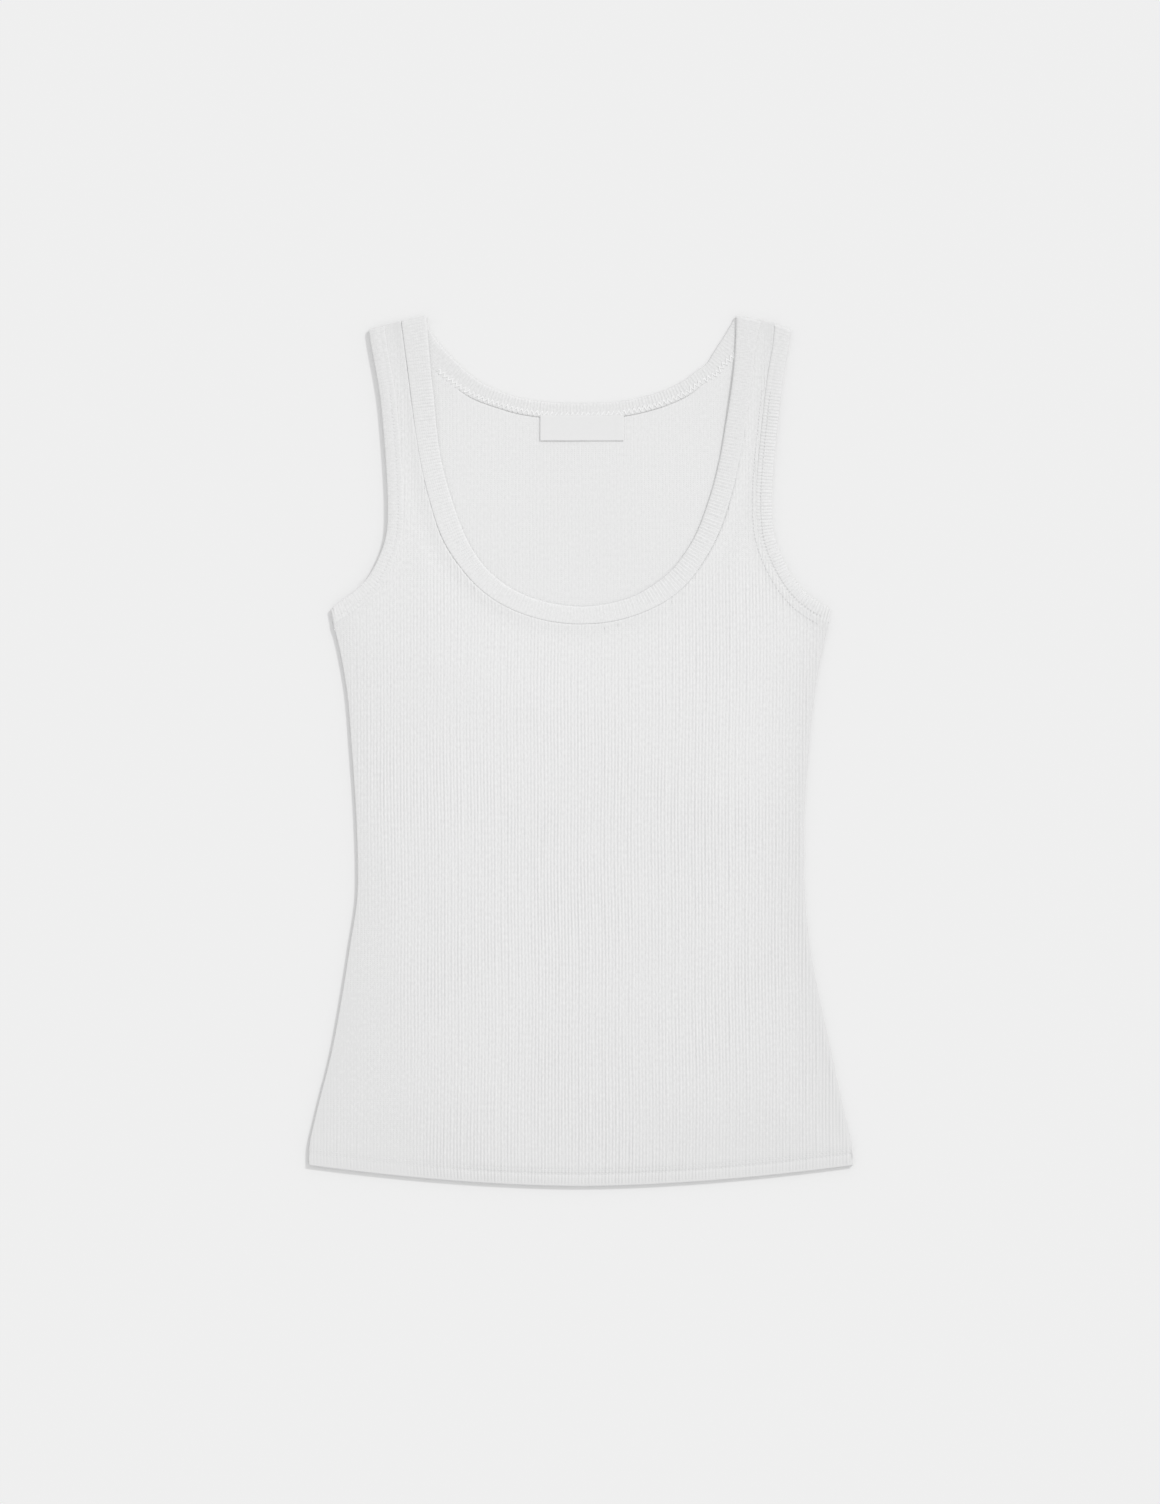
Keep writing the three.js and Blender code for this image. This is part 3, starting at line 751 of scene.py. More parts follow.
def front_top(points, relief=RELIEF):
    """The height of the front's outer face."""
    lie, rim = front_lie(points)
    x, up = points.T
    above_hem = up - hem_at(x)
    rows = zip(STITCH_ROWS, STITCH_DEPTHS, strict=True)
    groove = sum(depth * dip(above_hem, row, STITCH_WIDTH) for row, depth in rows)
    groove *= 1 - SLACK * slack_stitches(x)
    depth = NECK_SEAM_DEPTH * (1 - FLATTER * smoothstep(up, *FLATTER_ENDS) * (x > 0))
    depth *= 0.5 + 0.5 * smoothstep(up, *NECK_SEAM_SHALLOW)
    groove += depth * dip(distance_to(front_neck_seam, points), 0, NECK_SEAM_WIDTH)
    fading = 1 - smoothstep(up, STITCHES_END - STITCHES_FADE, STITCHES_END)
    for side, seam in arm_seams.items():
        arm = distance_to(seam, points)
        dips = dip(arm, 0, ARM_SEAM_WIDTH) + dip(arm, PANEL_NEEDLE_ROW, STITCH_WIDTH)
        groove += ARM_SEAM_DEPTH[side] * fading * dips
    relief = relief * patches(x, up) * smoothstep(rim, *RIBS_BEGIN)
    full = FRONT_BASE + WALL + lie + rib_height(x, RIB_PITCH, relief, up) - groove
    return FRONT_RIM + (full - FRONT_RIM) * rounded(rim, ROUNDING)


def front_bottom(points):
    lie, rim = front_lie(points)
    return SEAM_LEVEL + (FRONT_BASE + lie - SEAM_LEVEL) * rounded(rim, ROUNDING)


seams = [(front_neck_seam, -1), *((arm_seams[side], sign) for side, sign in SIGNS.items())]
column = RIB_PITCH / COLUMNS_A_RIB
front = panel("front_knit", front_neck_seam, seams, column, ROW_STEP, front_top, front_bottom)

# %% [markdown]
# ## The back
#
# The back is cut like the front, with a much higher neckline, and we look at its inner face through
# the neck opening. It lies flat on the table, so its underside is level and only its upper face has
# ribs. They are a little further apart, because the back is wider across the shoulders.

# %% The back panel
BACK_COLUMNS_A_RIB = 4
BACK_ROW_STEP = 12.0
BACK_RELIEF = 0.2
BACK_SEAM_DEPTH = 0.6
BACK_SEAM_WIDTH = 0.45
STRAPS_BEGIN = (76, 94)
STRAP_RISE = 0.42
STRAP_RISE_WIDTH = 8.0
BACK_RIM = SEAM_LEVEL - 0.1
BACK_RIM_BELOW = SEAM_LEVEL - 0.25


def back_top(points):
    rim = nearest(rim_lines, points)
    x, up = points.T
    seam = distance_to(back_neck_seam, points)
    strap = smoothstep(np.abs(x), *STRAPS_BEGIN)
    groove = BACK_SEAM_DEPTH * (1 - strap) * dip(seam, 0, BACK_SEAM_WIDTH)
    rise = STRAP_RISE * strap * dip(seam, 0, STRAP_RISE_WIDTH)
    full = WALL + rib_height(x, BACK_RIB_PITCH, BACK_RELIEF * patches(x, up), up) - groove + rise
    return BACK_RIM - (BACK_RIM - full) * rounded(rim, ROUNDING)


def back_bottom(points):
    return BACK_RIM_BELOW * (1 - rounded(nearest(rim_lines, points), ROUNDING))


seams = [(back_neck_seam, -1)]
column = BACK_RIB_PITCH / BACK_COLUMNS_A_RIB
back = panel("back_knit", back_neck_seam, seams, column, BACK_ROW_STEP, back_top, back_bottom)

# %% [markdown]
# ## Bands
#
# A band is a strip of the knit, cut across the ribs, folded lengthways and sewn on. Its ribs run
# across it, from the seam to the fold at its free edge. It goes all the way round its opening: along
# the front, over the fold of the shoulder, and along the back under the front.
#
# We sweep one cross-section round that ring: round at the fold, slightly crowned in the middle, and
# thinner next to the seam, where it drops into the groove between the band and the panel.

# %% The cross-section of a folded strip
BAND_RIB_PITCH = 2.4
STATION_STEP = BAND_RIB_PITCH / 5
SEAM_ROUND = (0.45, 0.9)
PRESSED_ROUND = (0.62, 2.2)
FREE_STEPS = [0, 0.045, 0.16, 0.34, 0.62, 1.0]
SEAM_STEPS = [0, 0.15, 0.45, 0.9, 1.9]
PLAIN_STEPS = [0.3, 0.5, 0.7]
CROWN = 0.1
BAND_NEEDLE_ROW = 3.6
GROOVE_STEPS = [-0.7, 0, 0.7]
GROOVE_WIDTH = 0.55
NEEDLE_GROOVE = 0.16
NECK_STRIP = {
    "width": 15.0,
    "nose": 2.2,
    "grooves": [],
    "fade_at_seam": 0.6,
    "fade_at_top": (0.65, 565, 605),
    "droop": 0.6,
}
ARM_STRIP = {
    "width": ARM_BAND,
    "nose": 0.35,
    "grooves": [BAND_NEEDLE_ROW],
    "fade_at_seam": 0.2,
    "fade_at_top": (0.85, 540, 590),
    "droop": 0.0,
}


def strip_section(strip, seam_round):
    """Shares of the way from the free edge to the seam, and of its thickness the strip has there.
    Its "nose" is how long the round of the free edge is."""
    width, nose, grooves = (strip[key] for key in ("width", "nose", "grooves"))
    dips = [width - groove - step for groove in grooves for step in GROOVE_STEPS]
    middle = [] if grooves else [share * width for share in PLAIN_STEPS]
    steps = [*(nose * share for share in FREE_STEPS), *(width - step for step in SEAM_STEPS)]
    u = np.array(sorted([*steps, *middle, *dips]))
    seam = thinned(width - u, *seam_round)
    crown = 1 - CROWN * (2 * u / width - 1) ** 2
    sunk = sum((dip(width - u, groove, GROOVE_WIDTH) for groove in grooves), np.zeros(len(u)))
    return u / width, rounded(u, nose) * seam * crown - NEEDLE_GROOVE * sunk


SLANT_RUN = 28.0


def cross_stations(free, seam):
    """Pairs of points across a band, square to its middle but true to both lines at its ends."""
    shares = np.linspace(0, 1, round(travelled(free)[-1] / STATION_STEP) + 1)
    by_share = [along(line, shares * travelled(line)[-1]) for line in (free, seam)]
    middle = (by_share[0] + by_share[1]) / 2
    middle = along(middle, shares * travelled(middle)[-1])
    ways = headings(middle)
    left_hand = quarter_turn(ways)
    to_seam = left_hand * np.sign(((by_share[1] - by_share[0]) * left_hand).sum(1, keepdims=True))
    square = [
        middle - to_seam * distance_to(free, middle)[:, None],
        middle + to_seam * distance_to(seam, middle)[:, None],
    ]
    gone = travelled(middle)
    slant = 1 - smoothstep(np.minimum(gone, gone[-1] - gone), 0, SLANT_RUN)[:, None]
    return [a * (1 - slant) + b * slant for a, b in zip(square, by_share, strict=True)]


print("a rib of a band every", BAND_RIB_PITCH, "mm")

# %% [markdown]
# The ring is put together from four stretches: the front, the fold at one end, the back, and the
# fold at the other end. Each station is a pair of points in the middle of the strip's thickness, and
# the direction in which its outer face looks: up on the front, down on the back, and outwards on the
# way round a fold.

# %% A strip that runs round an opening
FOLD_STEPS = 10
UPPER_LEVEL = UPPER_BAND_BASE + BAND / 2
LOWER_LEVEL = BAND / 2
HALF_GAP = (UPPER_LEVEL - LOWER_LEVEL) / 2
SET_BACK = HALF_GAP + BAND / 2
FOLD_GAP = 0.3
DROOP_ENDS = (520, 570)
SEAM_FADE_ENDS = (0.35, 0.9)
BAND_PATCHES_AT = 200.0


def flat_stations(pairs, level, look, droop=0.0):
    """The stations of a stretch that lies flat, without those that the folds replace. Between the
    straps, its free edge may droop by a little towards the layer below."""
    free, seam = pairs
    gone = travelled((free + seam) / 2)
    kept = np.minimum(gone, gone[-1] - gone) > SET_BACK + FOLD_GAP
    free, seam = free[kept], seam[kept]
    lowered = level - droop * (1 - smoothstep(free[:, 1], *DROOP_ENDS))
    looks = np.tile((0, 0, look), (len(free), 1))
    return np.column_stack([free, lowered]), np.column_stack([seam, np.full(len(seam), level)]), looks


def fold_stations(pairs, end):
    """The stations round a fold, from the front down to the back."""
    free, seam = pairs[0][end], pairs[1][end]
    across = (seam - free) / np.linalg.norm(seam - free)
    outward = np.array([-across[1], across[0]])
    outward *= np.sign(np.dot(outward, free - pairs[0][len(pairs[0]) // 2]))
    tilt = np.linspace(0, np.pi, FOLD_STEPS + 1)[:, None]
    shift = outward * (HALF_GAP * np.sin(tilt) - SET_BACK)
    level = (UPPER_LEVEL + LOWER_LEVEL) / 2 + HALF_GAP * np.cos(tilt)
    looks = np.hstack([outward * np.sin(tilt), np.cos(tilt)])
    return np.hstack([free + shift, level]), np.hstack([seam + shift, level]), looks


def band(name, upper, lower, strip, relief, seam_round):
    """A folded strip round an opening. "upper" and "lower" are (free, seam) pairs of lines."""
    upper, lower = cross_stations(*upper), cross_stations(*lower)
    stretches = [
        flat_stations(upper, UPPER_LEVEL, 1, strip["droop"]),
        fold_stations(upper, -1),
        [part[::-1] for part in flat_stations(lower, LOWER_LEVEL, -1)],
        [part[::-1] for part in fold_stations(upper, 0)],
    ]
    free, seam, looks = (np.vstack([stretch[k] for stretch in stretches]) for k in range(3))
    middle = (free + seam) / 2
    gone = travelled(np.vstack([middle, middle[:1]]))
    ribs = max(1, round(gone[-1] / BAND_RIB_PITCH))
    pitch = gone[-1] / ribs
    share, thickness = strip_section(strip, seam_round)
    lost, *ends = strip["fade_at_top"]
    valley = np.clip(relief - rib_height(gone[:-1], pitch, relief), 0, relief)
    valley *= patches(gone[:-1], BAND_PATCHES_AT) * (1 - lost * smoothstep(middle[:, 1], *ends))
    across_rib = np.sqrt(np.clip(thickness, 0, 1))
    across_rib *= 1 - strip["fade_at_seam"] * smoothstep(share, *SEAM_FADE_ENDS)
    half = BAND / 2 * thickness - valley[:, None] * across_rib
    across = free[:, None] + (seam - free)[:, None] * share[:, None]
    outer = across + looks[:, None] * half[..., None]
    inner = across - looks[:, None] * half[..., None]
    loop = np.concatenate([outer, inner[:, -2:0:-1]], axis=1)
    stations, around = loop.shape[:2]
    number = np.arange(stations * around).reshape(stations, around)
    after = np.roll(number, -1, axis=0)
    quads = np.stack([number, np.roll(number, -1, axis=1), np.roll(after, -1, axis=1), after], -1)
    place = np.concatenate([share, share[-2:0:-1]]) * strip["width"]
    cloth = np.column_stack([np.repeat(gone[:-1], around), np.tile(place, stations)])
    faces = quads.reshape(-1, 4)
    if np.dot(np.cross(middle[1] - middle[0], seam[0] - free[0]), looks[0]) > 0:
        faces = faces[:, ::-1]
    print(name, "has", ribs, "ribs in a ring of", round(gone[-1]), "mm")
    return mesh_piece(name, loop.reshape(-1, 3), faces, cloth, wrap=gone[-1])


front_lines, back_lines = (front_neck_edge, front_neck_seam), (back_neck_edge, back_neck_seam)
neck = band("neck_strip", front_lines, back_lines, NECK_STRIP, 0.42, SEAM_ROUND)
ARM_LOOKS = {"left": (0.2, SEAM_ROUND), "right": (0.65, PRESSED_ROUND)}
arms = {}
for side, look in ARM_LOOKS.items():
    lines = (armholes[side], arm_seams[side])
    arms[side] = band(f"arm_strip_{side}", lines, lines, ARM_STRIP, *look)

# %% [markdown]
# ## Thread
#
# Stitches are short lengths of thread that come up out of the cloth and go down again. Each one is a
# tiny tube that tapers where it enters the cloth. A row has hundreds of them, so we work out all of
# their points at once and make one mesh of each row.


# %% Tubes of thread
THREAD_SIDES = 6
STITCH_TAPER = np.array([0.35, 0.9, 1.0, 0.9, 0.35])
STITCH_ARC = np.array([-0.25, 0.1, 0.2, 0.1, -0.25])
FIRST_STITCH = 0.3
ON_CLOTH = 0.5


def tubes(name, paths, radii):
    """Tubes round paths that all have as many points: an array of (paths, points, 3)."""
    ways = np.gradient(paths, axis=1)
    ways /= np.linalg.norm(ways, axis=2, keepdims=True)
    side = np.cross(ways, (0, 0, 1.0))
    side /= np.linalg.norm(side, axis=2, keepdims=True)
    over = np.cross(side, ways)
    turn = np.linspace(0, 2 * np.pi, THREAD_SIDES, endpoint=False)
    ring = side[:, :, None] * np.cos(turn)[:, None] + over[:, :, None] * np.sin(turn)[:, None]
    skin = paths[:, :, None] + ring * np.reshape(radii, (1, -1, 1, 1))
    count, length = paths.shape[:2]
    number = np.arange(count * length * THREAD_SIDES).reshape(count, length, THREAD_SIDES)
    here, there = number[:, :-1], number[:, 1:]
    quads = np.stack([here, there, np.roll(there, -1, axis=2), np.roll(here, -1, axis=2)], -1)
    caps = [*number[:, 0].tolist(), *number[:, -1, ::-1].tolist()]
    return mesh_piece(name, skin.reshape(-1, 3), [*quads.reshape(-1, 4).tolist(), *caps])


def stitch_row(line, height, pitch, length, radius):
    """The paths of a row of stitches along a line that lies on a surface."""
    starts = np.arange(FIRST_STITCH * pitch, travelled(line)[-1] - length, pitch)
    spots = starts[:, None] + np.linspace(0, length, len(STITCH_ARC))
    flat = along(line, spots.ravel())
    lift = np.tile(STITCH_ARC, len(starts)) + ON_CLOTH * radius
    return np.column_stack([flat, height(flat) + lift]).reshape(len(starts), -1, 3)


THREAD = 0.21
HEM_STITCH = {"pitch": 2.9, "length": 2.3}
HEM_STITCHES_END = HALF_HEM - 3
BETWEEN_CRESTS = 0.6
SLACK_SUNK = 0.15


def panel_face(points):
    """The front's face at about the level on which a stitch lies, between crests and valleys."""
    return front_top(points, BETWEEN_CRESTS * RELIEF) - SLACK_SUNK * slack_stitches(points[:, 0])


hem_rows = []
for row in STITCH_ROWS:
    line = hem_line[np.abs(hem_line[:, 0]) < HEM_STITCHES_END] + (0, row)
    hem_rows.append(stitch_row(line, panel_face, radius=THREAD, **HEM_STITCH))
hem_thread = tubes("hem_thread", np.vstack(hem_rows), THREAD * STITCH_TAPER)


# %% Stitches along the arm bands
# A twin needle straddles the seam: one row lands on the band and the other on the panel. On the
# left they have sunk into the cloth, and on the right they stand proud.
STITCH_SUNK = {"left": 0.16, "right": 0.0}
ARM_THREAD = 0.25
ARM_STITCH = {"pitch": 2.6, "length": 2.1}


def band_face(points):
    """The height of an arm band's face along its row of stitches."""
    share, thickness = strip_section(ARM_STRIP, SEAM_ROUND)
    level = UPPER_LEVEL + BAND / 2 * np.interp(1 - BAND_NEEDLE_ROW / ARM_BAND, share, thickness)
    return np.full(len(points), level)


arm_threads = {}
for side, sign in SIGNS.items():
    found = []
    for inset, face in ((BAND_NEEDLE_ROW, band_face), (-PANEL_NEEDLE_ROW, panel_face)):
        line = beside(arm_seams[side], -sign * inset)[2:-2]
        line = line[line[:, 1] < STITCHES_END]
        paths = stitch_row(line, face, radius=ARM_THREAD, **ARM_STITCH)
        found.append(paths - (0, 0, STITCH_SUNK[side]))
    arm_threads[side] = tubes(f"arm_thread_{side}", np.vstack(found), ARM_THREAD * STITCH_TAPER)

# %% [markdown]
# On the inside of the back neckline, the machine that joins the band leaves a loose zigzag of looper
# thread over the seam. It shows through the neck opening, so it gets its own two threads.

# %% Looper thread inside the back neckline
LOOPER_PITCH = 3.7
LOOPER_REACH = 2.0
LOOPER_INSET = 2.7
LOOPER_THREAD = 0.28
LOOPER_ENDS = (44.0, 16.0)
LOOPER_DRIFT = 1.9
LOOPER_DRIFT_ENDS = (0.8, 0.88)
LOOPER_POINTS = 16
LOOPER_PHASES = (0, 0.7)
LOOPER_LEAN = 0.3
LOOPER_CURL = 0.35
LOOPER_RISE = 0.06
LOOPER_CROSSING = 0.08
LOOPER_SAG = 0.035
LOOPER_SUNK = 0.3
LABEL_ENDS = (24, 34)


def looper(phase):
    """A zigzag of thread that sinks where the label lifts the seam."""
    inset = LOOPER_INSET - LOOPER_DRIFT * smoothstep(back_share, *LOOPER_DRIFT_ENDS)
    line = beside(back_neck_seam, inset)
    first, last = LOOPER_ENDS
    spots = np.arange(first, travelled(line)[-1] - last, LOOPER_PITCH / LOOPER_POINTS)
    turn = 2 * np.pi * spots / LOOPER_PITCH + phase
    centre = along(line, spots)
    ways = headings(centre)
    swing = LOOPER_REACH * np.sin(turn)
    lean = LOOPER_CURL * np.sin(2 * turn) + LOOPER_LEAN * np.sin(turn)
    flat = centre + quarter_turn(ways) * swing[:, None] + ways * lean[:, None]
    level = BAND + LOOPER_RISE + LOOPER_CROSSING * np.cos(turn + phase)
    level -= LOOPER_SAG * np.clip(-swing, 0, None) ** 2
    level -= LOOPER_SUNK * (1 - smoothstep(np.abs(flat[:, 0]), *LABEL_ENDS))
    return np.column_stack([flat, level])


paths = np.stack([looper(phase) for phase in LOOPER_PHASES])
looper_thread = tubes("neck_looper_thread", paths, np.full(paths.shape[1], LOOPER_THREAD))

# %% [markdown]
# ## The label
#
# A short length of white satin tape, its ends folded under, tucked beneath the back band. Ours is
# bare. It's stiffer than the knit, so it keeps crisp corners and lifts a little at its lower edge.

# %% A bare label
LABEL = {"left": -29.4, "right": 30.9, "bottom": 536.6, "top": 555.0}
LABEL_THICKNESS = 0.42
LABEL_LEVEL = 1.62


LABEL_COLUMNS = 40
LABEL_ROWS = 16
LABEL_RIM = [0, 0.15]
LABEL_FIRST = 0.6
LABEL_LIFT = 0.2
LABEL_WAVE = 0.12
LABEL_WAVES = 1.6
LABEL_PHASE = 0.4
LABEL_ROUND = (0.35, 0.4)
LABEL_FOLD = 0.1
LABEL_FOLD_ENDS = (6.2, 5.6)


def label_sheet():
    width, depth = LABEL["right"] - LABEL["left"], LABEL["top"] - LABEL["bottom"]
    ends = [width - LABEL_RIM[1], width]
    spread = np.linspace(LABEL_FIRST, width - LABEL_FIRST, LABEL_COLUMNS)
    x = np.concatenate([LABEL_RIM, spread, ends])
    y = np.concatenate([LABEL_RIM, np.linspace(LABEL_FIRST, depth, LABEL_ROWS)])
    gx, gy = np.meshgrid(x + LABEL["left"], y + LABEL["bottom"])
    along_x, down = np.meshgrid(x, 1 - y / depth)
    wave = np.sin(LABEL_WAVES * np.pi * along_x / width + LABEL_PHASE)
    lift = LABEL_LIFT * down**2 + LABEL_WAVE * down * wave
    off_end = np.minimum(along_x, width - along_x)
    edge = np.minimum(off_end, gy - LABEL["bottom"])
    half = LABEL_THICKNESS / 2 * thinned(edge, *LABEL_ROUND)
    fold = LABEL_FOLD * smoothstep(off_end, *LABEL_FOLD_ENDS)
    level = LABEL_LEVEL + LABEL_THICKNESS / 2 + lift
    top = np.stack([gx, gy, level + half + fold], -1).reshape(-1, 3)
    bottom = np.stack([gx, gy, level - half], -1).reshape(-1, 3)
    rows, columns = gx.shape
    number = np.arange(rows * columns).reshape(rows, columns)
    quads = np.stack([number[:-1, :-1], number[:-1, 1:], number[1:, 1:], number[1:, :-1]], -1)
    quads = quads.reshape(-1, 4)
    rim = np.concatenate([number[0], number[1:, -1], number[-1, -2::-1], number[-2:0:-1, 0]])
    after = np.roll(rim, -1)
    base = rows * columns
    sides = np.column_stack([rim, rim + base, after + base, after])
    faces = np.vstack([quads, quads[:, ::-1] + base, sides])
    points = np.vstack([top, bottom])
    return mesh_piece("bare_label", points, faces, points[:, :2])


label = label_sheet()

# %% [markdown]
# ## One knit, several materials
#
# The panels, the bands and the looper all need the look of knitted cotton. A node group is the tool
# for an effect that several materials share: we build it once, with named inputs, and each material
# gives it its own values. This group draws the stitches on a rib. Every stitch is a V: two legs that
# lean against each other along the crest, one row above the last.


# %% A node group for knitted stitches
LEG_LEAN = 0.6
LEG_POWER = 0.7
VALLEY_POWER = 3.0


def plug(tree, socket, value):
    """Sets an input to a value, or links it to another node's output."""
    if isinstance(value, bpy.types.NodeSocket):
        tree.links.new(value, socket)
    else:
        socket.default_value = value


def add_node(tree, kind, inputs=(), **settings):
    """A shader node with its settings, and its inputs by their names or numbers."""
    node = tree.nodes.new("ShaderNode" + kind)
    for key, value in settings.items():
        setattr(node, key, value)
    for key, value in dict(inputs).items():
        plug(tree, node.inputs[key], value)
    return node


def maths(tree, operation, *values):
    """A Math node. Each value is a number or another node's output."""
    return add_node(tree, "Math", enumerate(values), operation=operation).outputs[0]


def shader_group(name, inputs, outputs):
    """An empty group. Its inputs are colours, numbers or, where they are None, vectors."""
    tree = bpy.data.node_groups.new(name, "ShaderNodeTree")
    for title, value in inputs.items():
        kind = "Vector" if value is None else "Color" if isinstance(value, tuple) else "Float"
        socket = tree.interface.new_socket(title, in_out="INPUT", socket_type="NodeSocket" + kind)
        if value is not None:
            socket.default_value = value
    for title, kind in outputs.items():
        tree.interface.new_socket(title, in_out="OUTPUT", socket_type="NodeSocket" + kind)
    entry = tree.nodes.new("NodeGroupInput")
    leave = tree.nodes.new("NodeGroupOutput")
    return tree, entry.outputs, leave.inputs


def knit_group():
    inputs = {"Place": None, "Rib pitch": 0.0024, "Stitch height": 0.0015}
    outputs = {"Height": "Float", "Valley": "Float"}
    tree, given, result = shader_group("knit_stitches", inputs, outputs)
    parts = add_node(tree, "SeparateXYZ", {0: given["Place"]})
    share = maths(tree, "FRACT", maths(tree, "DIVIDE", parts.outputs["X"], given["Rib pitch"]))
    from_middle = maths(tree, "ABSOLUTE", maths(tree, "SUBTRACT", share, 0.5))
    off_crest = maths(tree, "MULTIPLY", from_middle, 2.0)
    course = maths(tree, "DIVIDE", parts.outputs["Y"], given["Stitch height"])
    leaning = maths(tree, "SUBTRACT", course, maths(tree, "MULTIPLY", off_crest, LEG_LEAN))
    loop = maths(tree, "SINE", maths(tree, "MULTIPLY", maths(tree, "FRACT", leaning), math.pi))
    leg = maths(tree, "SINE", maths(tree, "MULTIPLY", off_crest, math.pi))
    height = maths(tree, "MULTIPLY", loop, maths(tree, "POWER", leg, LEG_POWER))
    tree.links.new(height, result["Height"])
    # The valley mask is used for painted shade in the valleys of the ribs.
    tree.links.new(maths(tree, "POWER", off_crest, VALLEY_POWER), result["Valley"])
    return tree


knit_stitches = knit_group()
print("node group:", knit_stitches.name)

# %% [markdown]
# White cotton is never one flat white. The yarn is uneven, so there are short streaks along the ribs,
# and the tone wanders a little over a hand's width. The second group also paints shade: a touch darker
# in the valleys of the ribs, on faces that turn down over an edge, near the rim of a panel, and by a
# few per cent towards the hem, its lower corners and the shoulders. It mixes all of these.

# %% A node group for the tone of white cloth
GARMENT_HALF = 0.3135
# Painted shade towards the hem, stronger at its lower corners.
HEM_SHADE_FROM = -0.02
HEM_SHADE_MIDDLE = 0.75
HEM_SHADE_SIDES = 3.6
# Painted shade towards the shoulders.
SHOULDER_SHADE_FROM = 0.12
SHOULDER_SHADE_RUN = 0.19
STREAK_SHAPE = (1.0, 0.4, 1.0)
STREAK_NOISE = (900.0, 1.0)
BROAD_NOISE = (9.0, 2.0)
SHADE_AT_LEAST = 0.25
ROUGHNESS = 0.88
ROUGHNESS_SPREAD = 0.2


def add_noise(tree, place, scale, detail):
    """Noise about zero."""
    noise = add_node(tree, "TexNoise", {"Scale": scale, "Detail": detail, "Vector": place})
    return maths(tree, "SUBTRACT", noise.outputs[0], 0.5)


def mix_colors(tree, mode, factor, first, second):
    inputs = {"Factor": factor, 6: first, 7: second}
    return add_node(tree, "Mix", inputs, data_type="RGBA", blend_type=mode).outputs[2]


def build_tone_and_shade():
    inputs = {
        "Place": None,
        "Along ribs": None,
        "Cloth": (0.86, 0.86, 0.86, 1),
        "Shade": (0.795, 0.795, 0.795, 1),
        "Valley": 0.0,
        "Valley painted shade": 0.3,
        "Edge": 0.0,
        "Edge painted shade": 0.3,
        "Streaks": 1.9,
        "Unevenness": 0.3,
        "Hem painted shade": 0.0,
        "Shoulder painted shade": 0.0,
        "Rim": 0.0,
        "Rim painted shade": 0.55,
    }
    outputs = {"Color": "Color", "Roughness": "Float"}
    tree, given, result = shader_group("white_cloth_tone_and_painted_shade", inputs, outputs)
    parts = add_node(tree, "SeparateXYZ", {0: given["Place"]})
    inputs = {0: given["Along ribs"], 1: STREAK_SHAPE}
    stretched = add_node(tree, "VectorMath", inputs, operation="MULTIPLY")
    streaks = add_noise(tree, stretched.outputs[0], *STREAK_NOISE)
    up = parts.outputs["Y"]
    # Painted shade: darker towards the hem, more so at its lower corners.
    low_down = maths(tree, "DIVIDE", maths(tree, "SUBTRACT", HEM_SHADE_FROM, up), GARMENT_HALF)
    aside = maths(tree, "MULTIPLY", maths(tree, "ABSOLUTE", parts.outputs["X"]), HEM_SHADE_SIDES)
    low_down = maths(tree, "MULTIPLY", low_down, maths(tree, "ADD", HEM_SHADE_MIDDLE, aside))
    # Painted shade: darker towards the shoulders.
    high_up = maths(tree, "SUBTRACT", up, SHOULDER_SHADE_FROM)
    high_up = maths(tree, "DIVIDE", high_up, SHOULDER_SHADE_RUN)
    # Streaks and unevenness are the yarn's own tone; the valley, hem, shoulder and rim terms are
    # painted shade.
    terms = {
        "Streaks": streaks,
        "Unevenness": add_noise(tree, given["Place"], *BROAD_NOISE),
        "Valley painted shade": given["Valley"],
        "Hem painted shade": maths(tree, "MAXIMUM", low_down, 0.0),
        "Shoulder painted shade": maths(tree, "MAXIMUM", high_up, 0.0),
        "Rim painted shade": given["Rim"],
    }
    amount = SHADE_AT_LEAST
    for weight, term in terms.items():
        amount = maths(tree, "ADD", amount, maths(tree, "MULTIPLY", term, given[weight]))
    amount = maths(tree, "MAXIMUM", amount, 0.0)
    cloth = mix_colors(tree, "MIX", amount, given["Cloth"], given["Shade"])
    # Painted shade: cloth that turns down over an edge is darkened by its slope.
    edge = maths(tree, "MULTIPLY", given["Edge"], given["Edge painted shade"])
    cloth = mix_colors(tree, "MULTIPLY", edge, cloth, (0.0, 0.0, 0.0, 1))
    tree.links.new(cloth, result["Color"])
    spread = maths(tree, "MULTIPLY", streaks, ROUGHNESS_SPREAD)
    tree.links.new(maths(tree, "ADD", spread, ROUGHNESS), result["Roughness"])
    return tree


tone_and_shade_tree = build_tone_and_shade()
print("node group:", tone_and_shade_tree.name)

# %% [markdown]
# A material joins the groups to a Principled BSDF. The stitches' height goes through a Bump node into
# Normal. The weight of the bump is real: a tenth of a millimetre of stitch on a fifth of a millimetre
# of rib. Sheen gives the pale bloom of fibres that stand off a matt cloth. The cloth's own normal tells
# the tone group where it turns down over an edge, and there it paints shade, the same from whichever
# side we look.


# %% Materials of the knit
MATT = {"Roughness": 0.9, "Sheen Roughness": 0.5, "Specular IOR Level": 0.3}
# How sharply the painted shade darkens the cloth where it turns down over an edge.
KNIT_EDGE_SHADE_POWER = 1.5
SATIN_EDGE_SHADE_POWER = 2.5
STITCH_BUMP = 0.00008
TWIST_BUMP = 0.00004
WEFT_BUMP = 0.00003


def add_bump(tree, shader, height, distance):
    raised = add_node(tree, "Bump", {"Distance": distance, "Height": height})
    plug(tree, shader.inputs["Normal"], raised.outputs["Normal"])


def new_material(name, inputs):
    """A material and its shader: matt, unless the inputs say otherwise."""
    material = bpy.data.materials.new(name)
    material.use_nodes = True
    tree = material.node_tree
    shader = tree.nodes["Principled BSDF"]
    for key, value in (MATT | inputs).items():
        plug(tree, shader.inputs[key], value)
    return material, tree, shader


